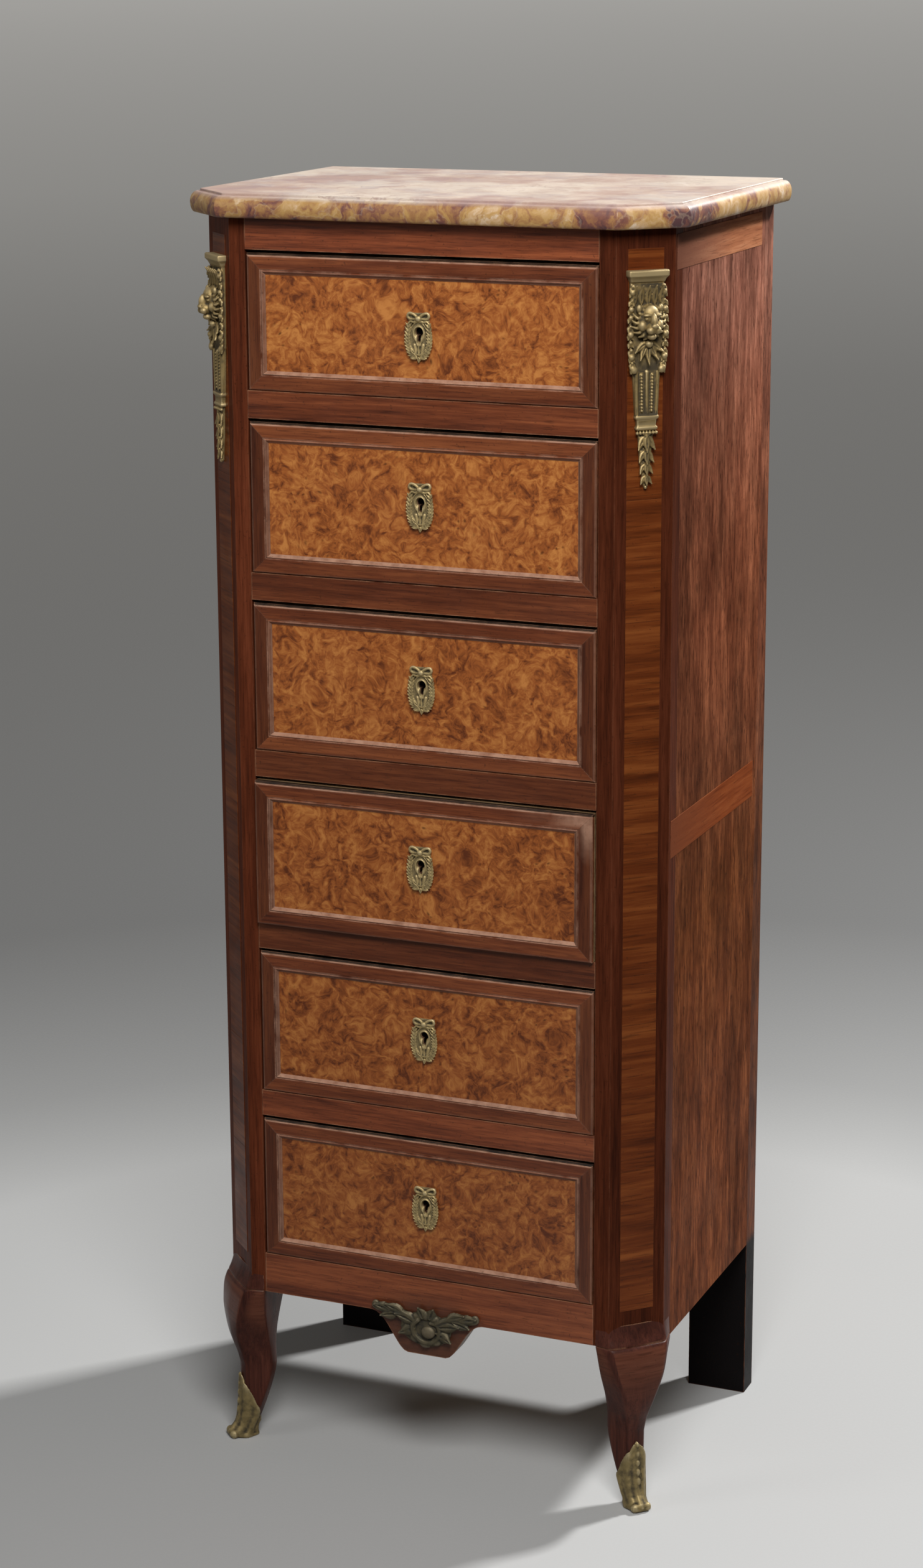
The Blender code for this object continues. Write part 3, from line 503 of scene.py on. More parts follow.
def side_colour(tree, place, tones):
    """Upright blotchy rosewood with a painted sheen towards the top and the rear edge and a painted shade
    low down; also its grain.
    """
    broken = scaled(tree, place, BROKEN_ALONG_Z)
    colour, grain = grain_colour(tree, broken, tones, streak_scale=240.0, band_scale=60.0, pores=0.75)
    where = axes(tree, place)
    foot, head = SIDE_PAINTED_LIGHT[0][0], SIDE_PAINTED_LIGHT[-1][0]
    stops = [((height - foot) / (head - foot), tint) for height, tint in SIDE_PAINTED_LIGHT]
    painted_by_height = ramp(tree, span(tree, where["Z"], foot, head), *stops)
    rear_sheen = span(tree, where["Y"], SIDE_FRONT, BACK_Y, *REAR_PAINTED_SHEEN)
    painted_rear_sheen = mix(tree, span(tree, where["Z"], *REAR_SHEEN_HEIGHT), PLAIN, rear_sheen)
    blotches = noise(tree, scaled(tree, place, BLOTCH_STRETCH), 18.0, 6.0, 0.7)
    for tint in (painted_by_height, painted_rear_sheen, span(tree, blotches, 0.35, 0.65, 0.60, 1.40)):
        colour = tinted(tree, colour, tint)
    return colour, grain


def side_wood():
    material, tree, shader, place = new_finish("rosewood_side")
    colour, grain = side_colour(tree, place, SIDE_TONES)
    polish(tree, shader, place, colour, grain, WORN_DARK, gleam=SIDE_GLEAM)
    return material


def band_wood():
    material, tree, shader, place = new_finish("tulipwood_band")
    colour, grain = grain_colour(tree, scaled(tree, place, ALONG_Y), BAND_TONES)
    where = axes(tree, place)
    frontward = span(tree, where["Y"], SIDE_FRONT, SIDE_FRONT + DULL_FRONT_LENGTH, 1.0, 0.0)
    band_sheen = mix(tree, frontward, BAND_SHEEN_REAR, BAND_SHEEN_FRONT)
    tint = mix(tree, span(tree, where["Z"], *BAND_SHEEN_ABOVE), PLAIN, band_sheen)
    toned = tinted(tree, mix(tree, frontward, colour, DULL_FRONT_BAND), tint)
    polish(tree, shader, place, toned, grain, WORN_WOOD, SHEET_REACH, SIDE_GLEAM)
    return material


side_veneer = side_wood()
band_veneer = band_wood()
print("side veneers:", side_veneer.name, band_veneer.name)

# %% [markdown]
# ## Finish: oak behind the veneer
# The carcass, the drawer linings and the cores of the rails are plain oak, unpolished and grey
# with dust. The rear stiles wear the wood of the sides, with its painted sheen and shade, down to the
# feet, which are painted near black below the case as a painted shade.

# %% Oak and the rear stiles
OAK_TONES = ((0.150, 0.082, 0.036), (0.290, 0.175, 0.085), (0.420, 0.280, 0.155))
OAK_STREAKS = 180.0
OAK_DUST = (0.20, 0.145, 0.095)
OAK_GLOSS = (0.58, 0.78)
# painted shade: the feet below the case are coloured near black for the shadow under the case
FOOT_PAINTED_SHADE = (0.006, 0.005, 0.005)
FOOT_SHADE_EDGE = (LEG_TOP + 0.004, LEG_TOP - 0.006)
STILE_SHADE = 0.84
STILE_GLEAM = 0.02


def bare_wood(name, squeeze):
    """Plain oak: flecked grain, dry and rough."""
    material, tree, shader, place = new_finish(name)
    colour, grain = grain_colour(tree, scaled(tree, place, squeeze), OAK_TONES, OAK_STREAKS)
    dust = smeared(tree, place, 0.0, 0.35)
    feed(tree, shader, {
        "Base Color": mix(tree, dust, colour, OAK_DUST),
        "Roughness": smeared(tree, place, *OAK_GLOSS),
        "Normal": bumped(tree, grain.outputs["Streaks"], 0.25, 0.0006)})
    return material


def stile_wood():
    material, tree, shader, place = new_finish("rosewood_rear")
    colour, grain = side_colour(tree, place, shaded(SIDE_TONES, STILE_SHADE))
    # painted shade on the feet below the case
    foot = span(tree, axes(tree, place)["Z"], *FOOT_SHADE_EDGE)
    polish(tree, shader, place, mix(tree, foot, colour, FOOT_PAINTED_SHADE), grain, WORN_DARK, gleam=STILE_GLEAM)
    return material


oak_upright = bare_wood("oak_upright", ALONG_Z)
oak_deep = bare_wood("oak_deep", ALONG_Y)
oak_wide = bare_wood("oak_wide", ALONG_X)
stile_veneer = stile_wood()
print("oak:", oak_upright.name, oak_deep.name, oak_wide.name, "and", stile_veneer.name)

# %% [markdown]
# ## Finish: oak with a veneered face
# A rail or a drawer front is veneered on its face only, so one material holds both: a mask by
# distance from the front plane changes rosewood to oak a few millimetres in. Painted shade is then
# laid on it: a dark patch on the apron round the foot of its mount, and near black in the keyholes and
# along the seam over each drawer, where the gaps lie in shadow.

# %% Rails and drawer cores
RAIL_TONES = ((0.048, 0.0110, 0.0048), (0.132, 0.0330, 0.0122), (0.245, 0.070, 0.0250))
VENEER_DEPTH = 0.0045
VENEER_EDGE = 0.0003
# painted shade: near black in the keyholes and on the top edge of each drawer front, for the dark gaps
GAP_PAINTED_SHADE = (0.012, 0.007, 0.005)
GAP_SHADE_EDGE = 0.0002
KEY_HEIGHT = 0.0655
KEY_SHADE_SIZE = 0.009
TOP_SHADE_DEPTH = 0.0026
# painted shade: the apron is darkened round the foot of its mount, where it lies in shade
APRON_PAINTED_SHADE = (0.046, 0.0210, 0.0125)
APRON_SHADE_WIDTH = 0.8
APRON_SHADE_REACH = (0.062, 0.030)
APRON_SHADE_SHARE = 0.75
APRON_SHADE_DROP = 0.030


def faced_colour(tree, place, front, shade=1.0):
    """Colour of rosewood on a front plane with oak behind it; also the grain of the face."""
    along = scaled(tree, place, ALONG_X)
    face, grain = grain_colour(tree, along, shaded(RAIL_TONES, shade), FINE_STREAKS)
    core, _ = grain_colour(tree, along, OAK_TONES, OAK_STREAKS)
    edge = front + VENEER_DEPTH
    behind = span(tree, axes(tree, place)["Y"], edge, edge + VENEER_EDGE)
    return mix(tree, behind, face, core), grain


def rail_wood(rail, shade):
    material, tree, shader, place = new_finish("rosewood_" + rail)
    colour, grain = faced_colour(tree, place, FRONT_Y, shade)
    # painted shade under the apron's mount
    reach = away(tree, place, (APRON_SHADE_WIDTH, 0.0, 1.0), (0.0, 0.0, LEG_TOP - APRON_SHADE_DROP))
    apron_shade = span(tree, reach, *APRON_SHADE_REACH, 0.0, APRON_SHADE_SHARE)
    polish(tree, shader, place, mix(tree, apron_shade, colour, APRON_PAINTED_SHADE), grain, WORN_WOOD)
    return material


def core_wood(n):
    """The block behind a drawer's frame and panel, with painted shade in its keyhole and along its top."""
    material, tree, shader, place = new_finish(f"drawer_{n}_core")
    low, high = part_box(f"drawer_{n}_front")
    colour, grain = faced_colour(tree, place, low.y)
    where = axes(tree, place)
    shallow = span(tree, where["Y"], low.y + 2 * VENEER_DEPTH, low.y + VENEER_DEPTH)
    upward = span(tree, facing(tree)["Z"], 0.5, 0.9)
    seam = high.z - TOP_SHADE_DEPTH
    top = sums(tree, "MAXIMUM", upward, span(tree, where["Z"], seam, seam + GAP_SHADE_EDGE))
    reach = away(tree, place, (1.0, 0.0, 1.0), (0.0, 0.0, high.z - KEY_HEIGHT - KEY_SHADE_SIZE / 2))
    keyhole = span(tree, reach, KEY_SHADE_SIZE, 0.9 * KEY_SHADE_SIZE)
    # painted shade in the keyhole and along the top seam
    painted_gap_shade = sums(tree, "MAXIMUM", keyhole, times(tree, top, shallow))
    polish(tree, shader, place, mix(tree, painted_gap_shade, colour, GAP_PAINTED_SHADE), grain, WORN_WOOD)
    return material


print("recipes for rails and drawer cores ready")

# %% [markdown]
# ## Finish: burr panels
# The sunk panels are cut from a burr, a growth full of tiny buds, so there is no grain direction:
# the figure curls, pools and freckles. Noise that is twisted by another noise gives the curls, a
# sine of it gives the fine contour lines round each bud, and small cells give the dark eyes. The
# lower drawers are painted darker than the upper ones, a painted shade for the light falling off towards
# the floor, so the tone follows the height.

# %% Burr veneer
BURR_TONES = ((0.105, 0.0260, 0.0080), (0.290, 0.0840, 0.0195), (0.470, 0.182, 0.0460))
BURR_EYE = (0.055, 0.014, 0.004)
# painted shade: the lower panels are darkened towards this tint
BURR_PAINTED_SHADE = (0.74, 0.72, 0.74)
BURR_PAINTED_SHADE_HEIGHTS = (0.92, 0.34)
BURR_GLOSS = (0.24, 0.40)
CURL_DRIFT = 0.03
CONTOURS = 60.0


def burr_veneer():
    material, tree, shader, place = new_finish("burr_panel")
    warped = drifted(tree, place, 24.0, 2.0, CURL_DRIFT)
    pools = noise(tree, warped, 105.0, 5.0, 0.58, 0.9)
    curl = noise(tree, warped, 46.0, 3.0, 0.5, 1.6)
    lines = sums(tree, "SINE", times(tree, curl, CONTOURS), 0.0)
    patches = span(tree, noise(tree, place, 26.0, 3.0, 0.5, 0.6), 0.30, 0.70, -0.07, 0.07)
    figure = sums(tree, "ADD", sums(tree, "ADD", pools, patches), times(tree, lines, 0.032))
    dark, middle, pale = BURR_TONES
    colour = ramp(tree, figure, (0.30, dark), (0.49, middle), (0.70, pale))
    cells = add(tree, "TexVoronoi", {"Vector": warped, "Scale": 120.0}).outputs["Distance"]
    clusters = span(tree, noise(tree, place, 20.0, 2.0), 0.48, 0.62)
    eyes = times(tree, span(tree, cells, 0.24, 0.06), clusters)
    freckled = mix(tree, times(tree, eyes, 0.8), colour, BURR_EYE)
    # painted shade low down
    painted_shade_share = span(tree, axes(tree, place)["Z"], *BURR_PAINTED_SHADE_HEIGHTS)
    feed(tree, shader, {
        "Base Color": mix(tree, painted_shade_share, freckled, tinted(tree, freckled, BURR_PAINTED_SHADE)),
        "Roughness": smeared(tree, place, *BURR_GLOSS),
        "Normal": bumped(tree, figure, 0.10, 0.0006)})
    shader.inputs["Specular IOR Level"].default_value = POLISH_GLEAM
    return material


burr_panel = burr_veneer()
print("burr:", burr_panel.name)

# %% [markdown]
# ## Finish: breccia marble
# Breccia is a stone of broken lumps, ochre, rose, cream and plum, cemented by paler veins. Warped
# Voronoi cells make the lumps: each cell's random colour picks a tone, and the distance to the
# cell's edge draws the veins. The top face is paler than the edge, partly from lost polish and partly
# as a painted sheen, and a band just under the top rim is painted pale as a painted highlight.

# %% Marble
STONES = ((0.06, (0.078, 0.033, 0.035)), (0.24, (0.178, 0.066, 0.044)), (0.38, (0.298, 0.144, 0.054)),
          (0.56, (0.410, 0.240, 0.078)), (0.72, (0.490, 0.315, 0.160)), (0.92, (0.620, 0.490, 0.360)))
VEIN = (0.500, 0.385, 0.270)
VEIN_SHARE = 0.20
# pale tones of the top, partly wear and partly painted sheen; also used for the painted highlight under the
# rim
WORN_SHEEN_STONE = (0.588, 0.512, 0.444)
WORN_SHEEN_ROSE = (0.385, 0.270, 0.244)
WORN_SHEEN_VEIN = (0.310, 0.220, 0.207)
WEAR_AND_SHEEN_SHARE = 0.80
RIM_HIGHLIGHT = 0.0020
LUMP_SCALE = 34.0
LUMP_DRIFT = 0.08
CLOUD_SHARE = 0.68
MARBLE_GLOSS = (0.38, 0.54)


def breccia():
    material, tree, shader, place = new_finish("breccia")
    warped = drifted(tree, place, 24.0, 5.0, LUMP_DRIFT)
    lumps = add(tree, "TexVoronoi", {"Vector": warped, "Scale": LUMP_SCALE}).outputs["Color"]
    pick = add(tree, "SeparateColor", {"Color": lumps}).outputs["Red"]
    clouds = span(tree, noise(tree, warped, 30.0, 6.0, 0.62, 0.8), 0.30, 0.70)
    chosen = add(tree, "Mix", {0: CLOUD_SHARE, 2: pick, 3: clouds}).outputs[0]
    fine = span(tree, noise(tree, warped, 120.0, 5.0, 0.6), 0.2, 0.8, -0.13, 0.13)
    district = span(tree, noise(tree, place, 7.0, 2.0, 0.5), 0.36, 0.64, -0.22, 0.16)
    stone = ramp(tree, sums(tree, "ADD", sums(tree, "ADD", chosen, district), fine), *STONES)
    seams = add(tree, "TexVoronoi", {"Vector": warped, "Scale": LUMP_SCALE}, feature="DISTANCE_TO_EDGE")
    vein = span(tree, seams.outputs["Distance"], 0.040, 0.008)
    veined = mix(tree, times(tree, vein, VEIN_SHARE), stone, VEIN)
    # upward faces: wear and painted sheen; the band under the rim: painted highlight
    top = span(tree, facing(tree)["Z"], 0.50, 0.95, 0.0, WEAR_AND_SHEEN_SHARE)
    highlight_head = marble_high.z - RIM_HIGHLIGHT
    rim = span(tree, axes(tree, place)["Z"], highlight_head - RIM_HIGHLIGHT, highlight_head, 0.0, WEAR_AND_SHEEN_SHARE)
    rose = span(tree, noise(tree, warped, 9.0, 6.0, 0.62), 0.44, 0.62)
    broken = span(tree, noise(tree, place, 14.0, 3.0), 0.45, 0.65, 0.0, 0.7)
    worn = mix(tree, times(tree, vein, broken), mix(tree, rose, WORN_SHEEN_STONE, WORN_SHEEN_ROSE), WORN_SHEEN_VEIN)
    feed(tree, shader, {
        "Base Color": mix(tree, sums(tree, "MAXIMUM", top, rim), veined, worn),
        "Roughness": smeared(tree, place, *MARBLE_GLOSS),
        "Normal": bumped(tree, vein, 0.08, 0.0005)})
    return material


marble_finish = breccia()
print("marble:", marble_finish.name)

# %% [markdown]
# ## Finish: gilt bronze and lock iron
# The mounts were cast in bronze, chased and gilded. The gold stays bright on the high points and
# goes dark and greenish in the hollows, where nobody can polish. How deep each point lies is
# measured on the mesh when a casting is made and stored there as an attribute, so the colour
# follows the modelling. The apron mount sits low under the case and is painted much darker, a
# painted shade. The locks are plain filed iron with a little rust.

# %% Bronze and iron
# four tones each: the gilding, where it has dulled, where it is rubbed, and the hollows
BRIGHT_BRONZE = ((0.290, 0.204, 0.082), (0.178, 0.127, 0.054), (0.384, 0.292, 0.150), (0.050, 0.036, 0.017))
PLATE_BRONZE = ((0.430, 0.325, 0.150), (0.284, 0.208, 0.094), (0.550, 0.445, 0.255), (0.046, 0.034, 0.015))
SHOE_BRONZE = ((0.260, 0.195, 0.085), (0.140, 0.105, 0.046), (0.400, 0.330, 0.190), (0.032, 0.024, 0.012))
# painted shade: the apron mount's tones are much darker, for the shade it sits in
SHADED_BRONZE = ((0.098, 0.080, 0.046), (0.052, 0.048, 0.031), (0.210, 0.170, 0.112), (0.018, 0.015, 0.010))
BRONZE_METAL = (0.78, 0.30)
BRONZE_GLOSS = (0.50, 0.64)
IRON = (0.170, 0.160, 0.150)
RUST = (0.110, 0.050, 0.025)
FILED_ALONG_X = (0.1, 1.0, 1.0)


def gilt_bronze(name, gilt, dull, rubbed_and_highlit, hollow):
    """Gilt bronze from its four tones; it is less metallic and rougher where it is sunk."""
    material, tree, shader, place = new_finish(name)
    depth = stored(tree, "hollow")
    patchy = noise(tree, place, 150.0, 4.0, 0.6)
    uneven = span(tree, patchy, 0.3, 0.7, -0.25, 0.25)
    sunk = span(tree, sums(tree, "ADD", depth, uneven), -0.10, 0.55)
    raised = span(tree, depth, -0.25, -0.95)
    tone = mix(tree, raised, mix(tree, span(tree, patchy, 0.35, 0.7), gilt, dull), rubbed_and_highlit)
    smooth = smeared(tree, place, *BRONZE_GLOSS)
    feed(tree, shader, {
        "Base Color": mix(tree, sunk, tone, hollow),
        "Metallic": span(tree, sunk, 0, 1, *BRONZE_METAL),
        "Roughness": sums(tree, "ADD", smooth, times(tree, sunk, 0.3)),
        "Normal": bumped(tree, patchy, 0.15, 0.0004)})
    return material


def lock_iron():
    material, tree, shader, place = new_finish("lock_iron")
    filed = noise(tree, scaled(tree, place, FILED_ALONG_X), 900.0, 3.0)
    rusty = span(tree, noise(tree, place, 60.0, 5.0, 0.65), 0.52, 0.66)
    feed(tree, shader, {
        "Base Color": mix(tree, rusty, IRON, RUST),
        "Metallic": span(tree, rusty, 0, 1, 1.0, 0.2),
        "Roughness": span(tree, filed, 0.3, 0.7, 0.35, 0.60),
        "Normal": bumped(tree, filed, 0.2, 0.0002)})
    return material


bronze = gilt_bronze("gilt_bronze_bright", *BRIGHT_BRONZE)
plate_bronze = gilt_bronze("gilt_bronze_plate", *PLATE_BRONZE)
shoe_bronze = gilt_bronze("gilt_bronze_shoe", *SHOE_BRONZE)
# painted shade on the apron mount
shaded_bronze = gilt_bronze("gilt_bronze_shaded", *SHADED_BRONZE)
iron = lock_iron()
print("metals:", bronze.name, plate_bronze.name, shoe_bronze.name, shaded_bronze.name, iron.name)

# %% [markdown]
# ## Dressing the joiner's pieces
# Pieces whose shape is already right keep it and only get their finish: the posts, rails, sides,
# linings and locks.

# %% Finishes on the frame's own pieces
# share of the common tone, as painted light: the top rail is painted lighter against the marble's shadow,
# and the rails lower down painted lighter or darker for how the light falls on them
RAIL_PAINTED_LIGHT = {"top_rail": 1.45, "drawer_divider_1": 1.0, "drawer_divider_2": 0.76,
               "drawer_divider_3": 0.62,
               "drawer_divider_4": 0.62, "drawer_divider_5": 1.18, "apron_rail": 1.0}


def dress(node, finish):
    slots = nodes[node].data.materials
    slots.clear()
    slots.append(finish)


for side, _ in SIDES:
    dress(side + "_front_post", post_veneers[side])
    dress(side + "_rear_stile", stile_veneer)
    dress(side + "_side_panel", side_veneer)
for rail, shade in RAIL_PAINTED_LIGHT.items():
    dress(rail, rail_wood(rail, shade))
for board in ("top_board", "bottom_board"):
    dress(board, oak_wide)
for n in DRAWERS:
    dress(f"drawer_{n}_front", core_wood(n))
    dress(f"drawer_{n}_lining", oak_deep)
    dress(f"drawer_{n}_bottom", oak_wide)
    dress(f"drawer_{n}_lock", iron)
    dress(f"drawer_{n}_bolt", iron)
print("dressed the carcass, the drawers and the locks")

# %% [markdown]
# ## Helpers for shapes
# A new piece is a skin stretched over rings of points. It is built where it stands, at its real
# size, and then settled: it gets its finish, rides on its body and, where it stands for a plain
# solid of the frame, hides that solid.

# %% Shape helpers
SMOOTH_ANGLE = math.radians(35)


def skin(bm, rings, caps=True, closed=False):
    """Faces between rings of points that have the same count; returns the rings of vertices."""
    loops = [[bm.verts.new(point) for point in ring] for ring in rings]
    pairs = list(zip(loops, loops[1:]))
    if closed:
        pairs.append((loops[-1], loops[0]))
    for lower, upper in pairs:
        for index in range(len(lower)):
            after = (index + 1) % len(lower)
            bm.faces.new((lower[index], lower[after], upper[after], upper[index]))
    if caps and not closed:
        bm.faces.new(loops[0])
        bm.faces.new(loops[-1])
    return loops


def mesh_of(build):
    """A mesh from a function that fills a bmesh with closed shapes."""
    bm = bmesh.new()
    build(bm)
    bmesh.ops.recalc_face_normals(bm, faces=bm.faces)
    mesh = bpy.data.meshes.new("shape")
    bm.to_mesh(mesh)
    bm.free()
    mesh.shade_smooth()
    mesh.set_sharp_from_angle(angle=SMOOTH_ANGLE)
    return mesh


def settle(name, mesh, finish, body, stands_for=(), place=None):
    """One finished piece, in its place and on its body."""
    piece = bpy.data.objects.new(name, mesh)
    bpy.context.scene.collection.objects.link(piece)
    if not mesh.materials:
        mesh.materials.append(finish)
    if place is not None:
        piece.matrix_world = place
    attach(piece, body)
    if stands_for:
        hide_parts(*stands_for)
    return piece


def on_side(mesh, sign):
    """The mesh itself for the right-hand side, mirrored for the left."""
    if sign < 0:
        mesh.transform(Matrix.Scale(-1, 4, (1, 0, 0)))
        mesh.flip_normals()
    return mesh


def flow(points, steps):
    """A smooth line through a few points, with a number of steps between each two."""
    points = [Vector(point) for point in points]
    line = []
    for index in range(len(points) - 1):
        before = points[max(index - 1, 0)]
        start, end = points[index], points[index + 1]
        after = points[min(index + 2, len(points) - 1)]
        for step in range(steps):
            t = step / steps
            line.append(0.5 * (2 * start + (end - before) * t
                               + (2 * before - 5 * start + 4 * end - after) * t ** 2
                               + (3 * start - before - 3 * end + after) * t ** 3))
    return line + [points[-1]]


def eased_corners(outline, share, steps=3, kept=()):
    """A closed outline with each corner rounded, using a share of the edges beside it."""
    rounded = []
    for index, corner in enumerate(outline):
        corner = Vector(corner)
        if index in kept:
            rounded.append(corner)
            continue
        start = corner.lerp(Vector(outline[index - 1]), share)
        end = corner.lerp(Vector(outline[(index + 1) % len(outline)]), share)
        for step in range(steps + 1):
            t = step / steps
            rounded.append(start.lerp(corner, t).lerp(corner.lerp(end, t), t))
    return rounded


print("shape helpers ready")

# %% [markdown]
# ## The marble top
# The slab follows the plan of the case with its canted corners. Its edge is moulded: a hollow
# underneath, a full round nose, and a small square fillet below the top face. It is a stack of
# rings, each one the plan of the case pushed out by the amount that the profile gives there. The
# back edge was sawn flat, because it stands against a wall.

# %% Marble top
NOSE_INSET = 0.007
UNDER_INSET = 0.004
FILLET = 0.002
WAIST = 0.0099
ARRIS = 0.0005
NOSE_STEPS = 9
MARBLE_CORNER = 0.0008
CORNER_STEPS = 3


def marble_plan(inset):
    """Plan of the slab at one level, as points from the right back corner round to the left one."""
    offset = marble_high.x - HALF_WIDTH - inset
    corner = offset * (math.sqrt(2) - 1)
    right = [Vector((HALF_WIDTH + offset, marble_high.y)),
             Vector((HALF_WIDTH + offset, FRONT_Y + CANT - corner)),
             Vector((HALF_WIDTH - CANT + corner, FRONT_Y - offset))]
    plan = [right[0]]
    whole = right + [Vector((-p.x, p.y)) for p in reversed(right)]
    for before, here, after in zip(whole, whole[1:], whole[2:]):
        start = here + (before - here).normalized() * MARBLE_CORNER
        end = here + (after - here).normalized() * MARBLE_CORNER
        for step in range(CORNER_STEPS + 1):
            t = step / CORNER_STEPS
            plan.append(start.lerp(here, t).lerp(here.lerp(end, t), t))
    return plan + [whole[-1]]


def marble_edge():
    """Insets and heights of the moulded edge, from the underside up."""
    thickness = marble_high.z - marble_low.z
    shoulder = thickness - FILLET
    angles = [math.pi / 2 * k / NOSE_STEPS for k in range(NOSE_STEPS + 1)]
    under = [(UNDER_INSET * (1 - math.sin(a)), WAIST * (1 - math.cos(a))) for a in angles]
    rise = shoulder - WAIST
    over = [(NOSE_INSET * (1 - math.cos(a)), WAIST + rise * math.sin(a)) for a in angles[1:]]
    rim = NOSE_INSET + FILLET
    return under + over + [(rim, shoulder), (rim, thickness - ARRIS), (rim + ARRIS, thickness)]


def build_marble(bm):
    rings = []
    for inset, height in marble_edge():
        rings.append([(p.x, p.y, marble_low.z + height) for p in marble_plan(inset)])
    skin(bm, rings)


slab_mesh = mesh_of(build_marble)
settle("marble_slab", slab_mesh, marble_finish, "case", ["marble_top"])
print("marble slab:", len(slab_mesh.polygons), "faces")

# %% [markdown]
# ## Drawer fronts: mitred frames and burr panels
# Each front is a burr panel sunk in a frame of four rosewood strips that meet in mitres, with a
# small bead and a hollow down to the panel. Each strip is its own closed shape with a hair's
# breadth of a joint, and the direction of its grain is stored in the mesh, because the grain has to
# turn the corner at each mitre. The panel is a thin sheet with a hole for the key.

# %% Frames and panels
FRAME_PROFILE = [
    # inset from the edge, depth behind the front plane; the face first, then the hidden back
    (0.0001, 0.0018), (0.0003, 0.0007), (0.0008, 0.0000), (0.0014, -0.0003), (0.0026, -0.0003),
    (0.0075, -0.0003), (0.0136, -0.0003),
    (0.0140, 0.0001), (0.0145, 0.0001), (0.0149, -0.0003), (0.0154, -0.0004), (0.0160, -0.0001),
    (0.0165, 0.0006), (0.0172, 0.0013), (0.0180, 0.0016), (0.0184, 0.0022),
    (0.0184, 0.0035), (0.0150, 0.0022), (0.0020, 0.0022)]
MITRE_GAP = 0.00012
STRIP_CUTS = 9
# painted shade per strip (bottom, right, top, left): upright strips painted darker, the top one lighter,
# for how light falls on them
STRIP_PAINTED_SHADES = (0.88, 0.56, 0.95, 0.56)
# painted highlight: the bead is painted pale most at the bottom and the outer arris most at the top, where
# light catches them
BEAD_HIGHLIGHT = (0.85, 0.30, 0.15, 0.30)
ARRIS_HIGHLIGHT = (0.10, 0.20, 0.90, 0.20)
ARRIS_END = 0.0020
TOP_REVEAL = 0.0012
BEAD_START = 0.0152
FACE_MIDDLE = 0.0100
WORN_DRAWER = 4
WORN_REACH = 0.050
PANEL_INSET = 0.0172
PANEL_FACE = 0.0021
PANEL_SHEET = 0.0010
KEY_CLEAR = 0.0062
KEY_CLEAR_BELOW = 0.0118
PANEL_SIDES = 48


def frame_strips(bm, low, high, worn_corner):
    """Four mitred strips round a drawer front, with their grain direction, painted shade, and painted
    highlight and wear stored.
    """
    grain = bm.verts.layers.float_vector.new("grain")
    shade = bm.verts.layers.float.new("shade")
    rubbed_and_highlit = bm.verts.layers.float.new("rubbed_and_highlit")
    corners = [Vector((low.x, 0, low.z)), Vector((high.x, 0, low.z)),
               Vector((high.x, 0, high.z - TOP_REVEAL)), Vector((low.x, 0, high.z - TOP_REVEAL))]
    for index, start in enumerate(corners):
        end = corners[(index + 1) % 4]
        along = (end - start).normalized()
        inward = Vector((-along.z, 0, along.x))
        shift = Vector((chance.uniform(0, 9), chance.uniform(0, 9), chance.uniform(0, 9)))
        ends = []
        for origin, way in ((start, 1), (end, -1)):
            ends.append([origin + along * way * (inset + MITRE_GAP) + inward * inset
                         + Vector((0, low.y + depth, 0)) for inset, depth in FRAME_PROFILE])
        rings = [[a.lerp(b, k / STRIP_CUTS) for a, b in zip(*ends)] for k in range(STRIP_CUTS + 1)]
        for loop in skin(bm, rings):
            for vert, (inset, depth) in zip(loop, FRAME_PROFILE):
                vert[grain] = shift + Vector(((vert.co - start).dot(along), inset, depth))
                vert[shade] = STRIP_PAINTED_SHADES[index]
                highlight_and_wear = ARRIS_HIGHLIGHT[index] if inset < ARRIS_END else 0.0
                if inset > BEAD_START:
                    highlight_and_wear = BEAD_HIGHLIGHT[index]
                if worn_corner and inset < FACE_MIDDLE:
                    away = Vector((high.x - vert.co.x, high.z - vert.co.z)).length
                    highlight_and_wear = max(highlight_and_wear, 1 - away / WORN_REACH)
                vert[rubbed_and_highlit] = highlight_and_wear


def burr_sheet(bm, low, high):
    """The panel: a thin sheet between a rectangle and a round hole behind the key plate."""
    centre = Vector((0, 0, high.z - KEY_HEIGHT))
    left, right = low.x + PANEL_INSET, high.x - PANEL_INSET
    bottom, top = low.z + PANEL_INSET, high.z - PANEL_INSET
    outer, hole = [], []
    for step in range(PANEL_SIDES):
        angle = 2 * math.pi * (step + 0.5) / PANEL_SIDES
        ray = Vector((math.cos(angle), 0, math.sin(angle)))
        reach_x = ((right if ray.x > 0 else left) - centre.x) / ray.x
        reach_z = ((top if ray.z > 0 else bottom) - centre.z) / ray.z
        outer.append(centre + ray * min(reach_x, reach_z))
        hole.append(centre + ray * (KEY_CLEAR + (KEY_CLEAR_BELOW - KEY_CLEAR) * max(-ray.z, 0) ** 3))
    for corner in ((left, bottom), (right, bottom), (right, top), (left, top)):
        spot = Vector((corner[0], 0, corner[1]))
        nearest = min(range(PANEL_SIDES), key=lambda k: (outer[k] - spot).length)
        outer[nearest] = spot
    face = Vector((0, low.y + PANEL_FACE, 0))
    back = face + Vector((0, PANEL_SHEET, 0))
    edges = ((hole, back), (hole, face), (outer, face), (outer, back))
    skin(bm, [[point + level for point in line] for line, level in edges], closed=True)


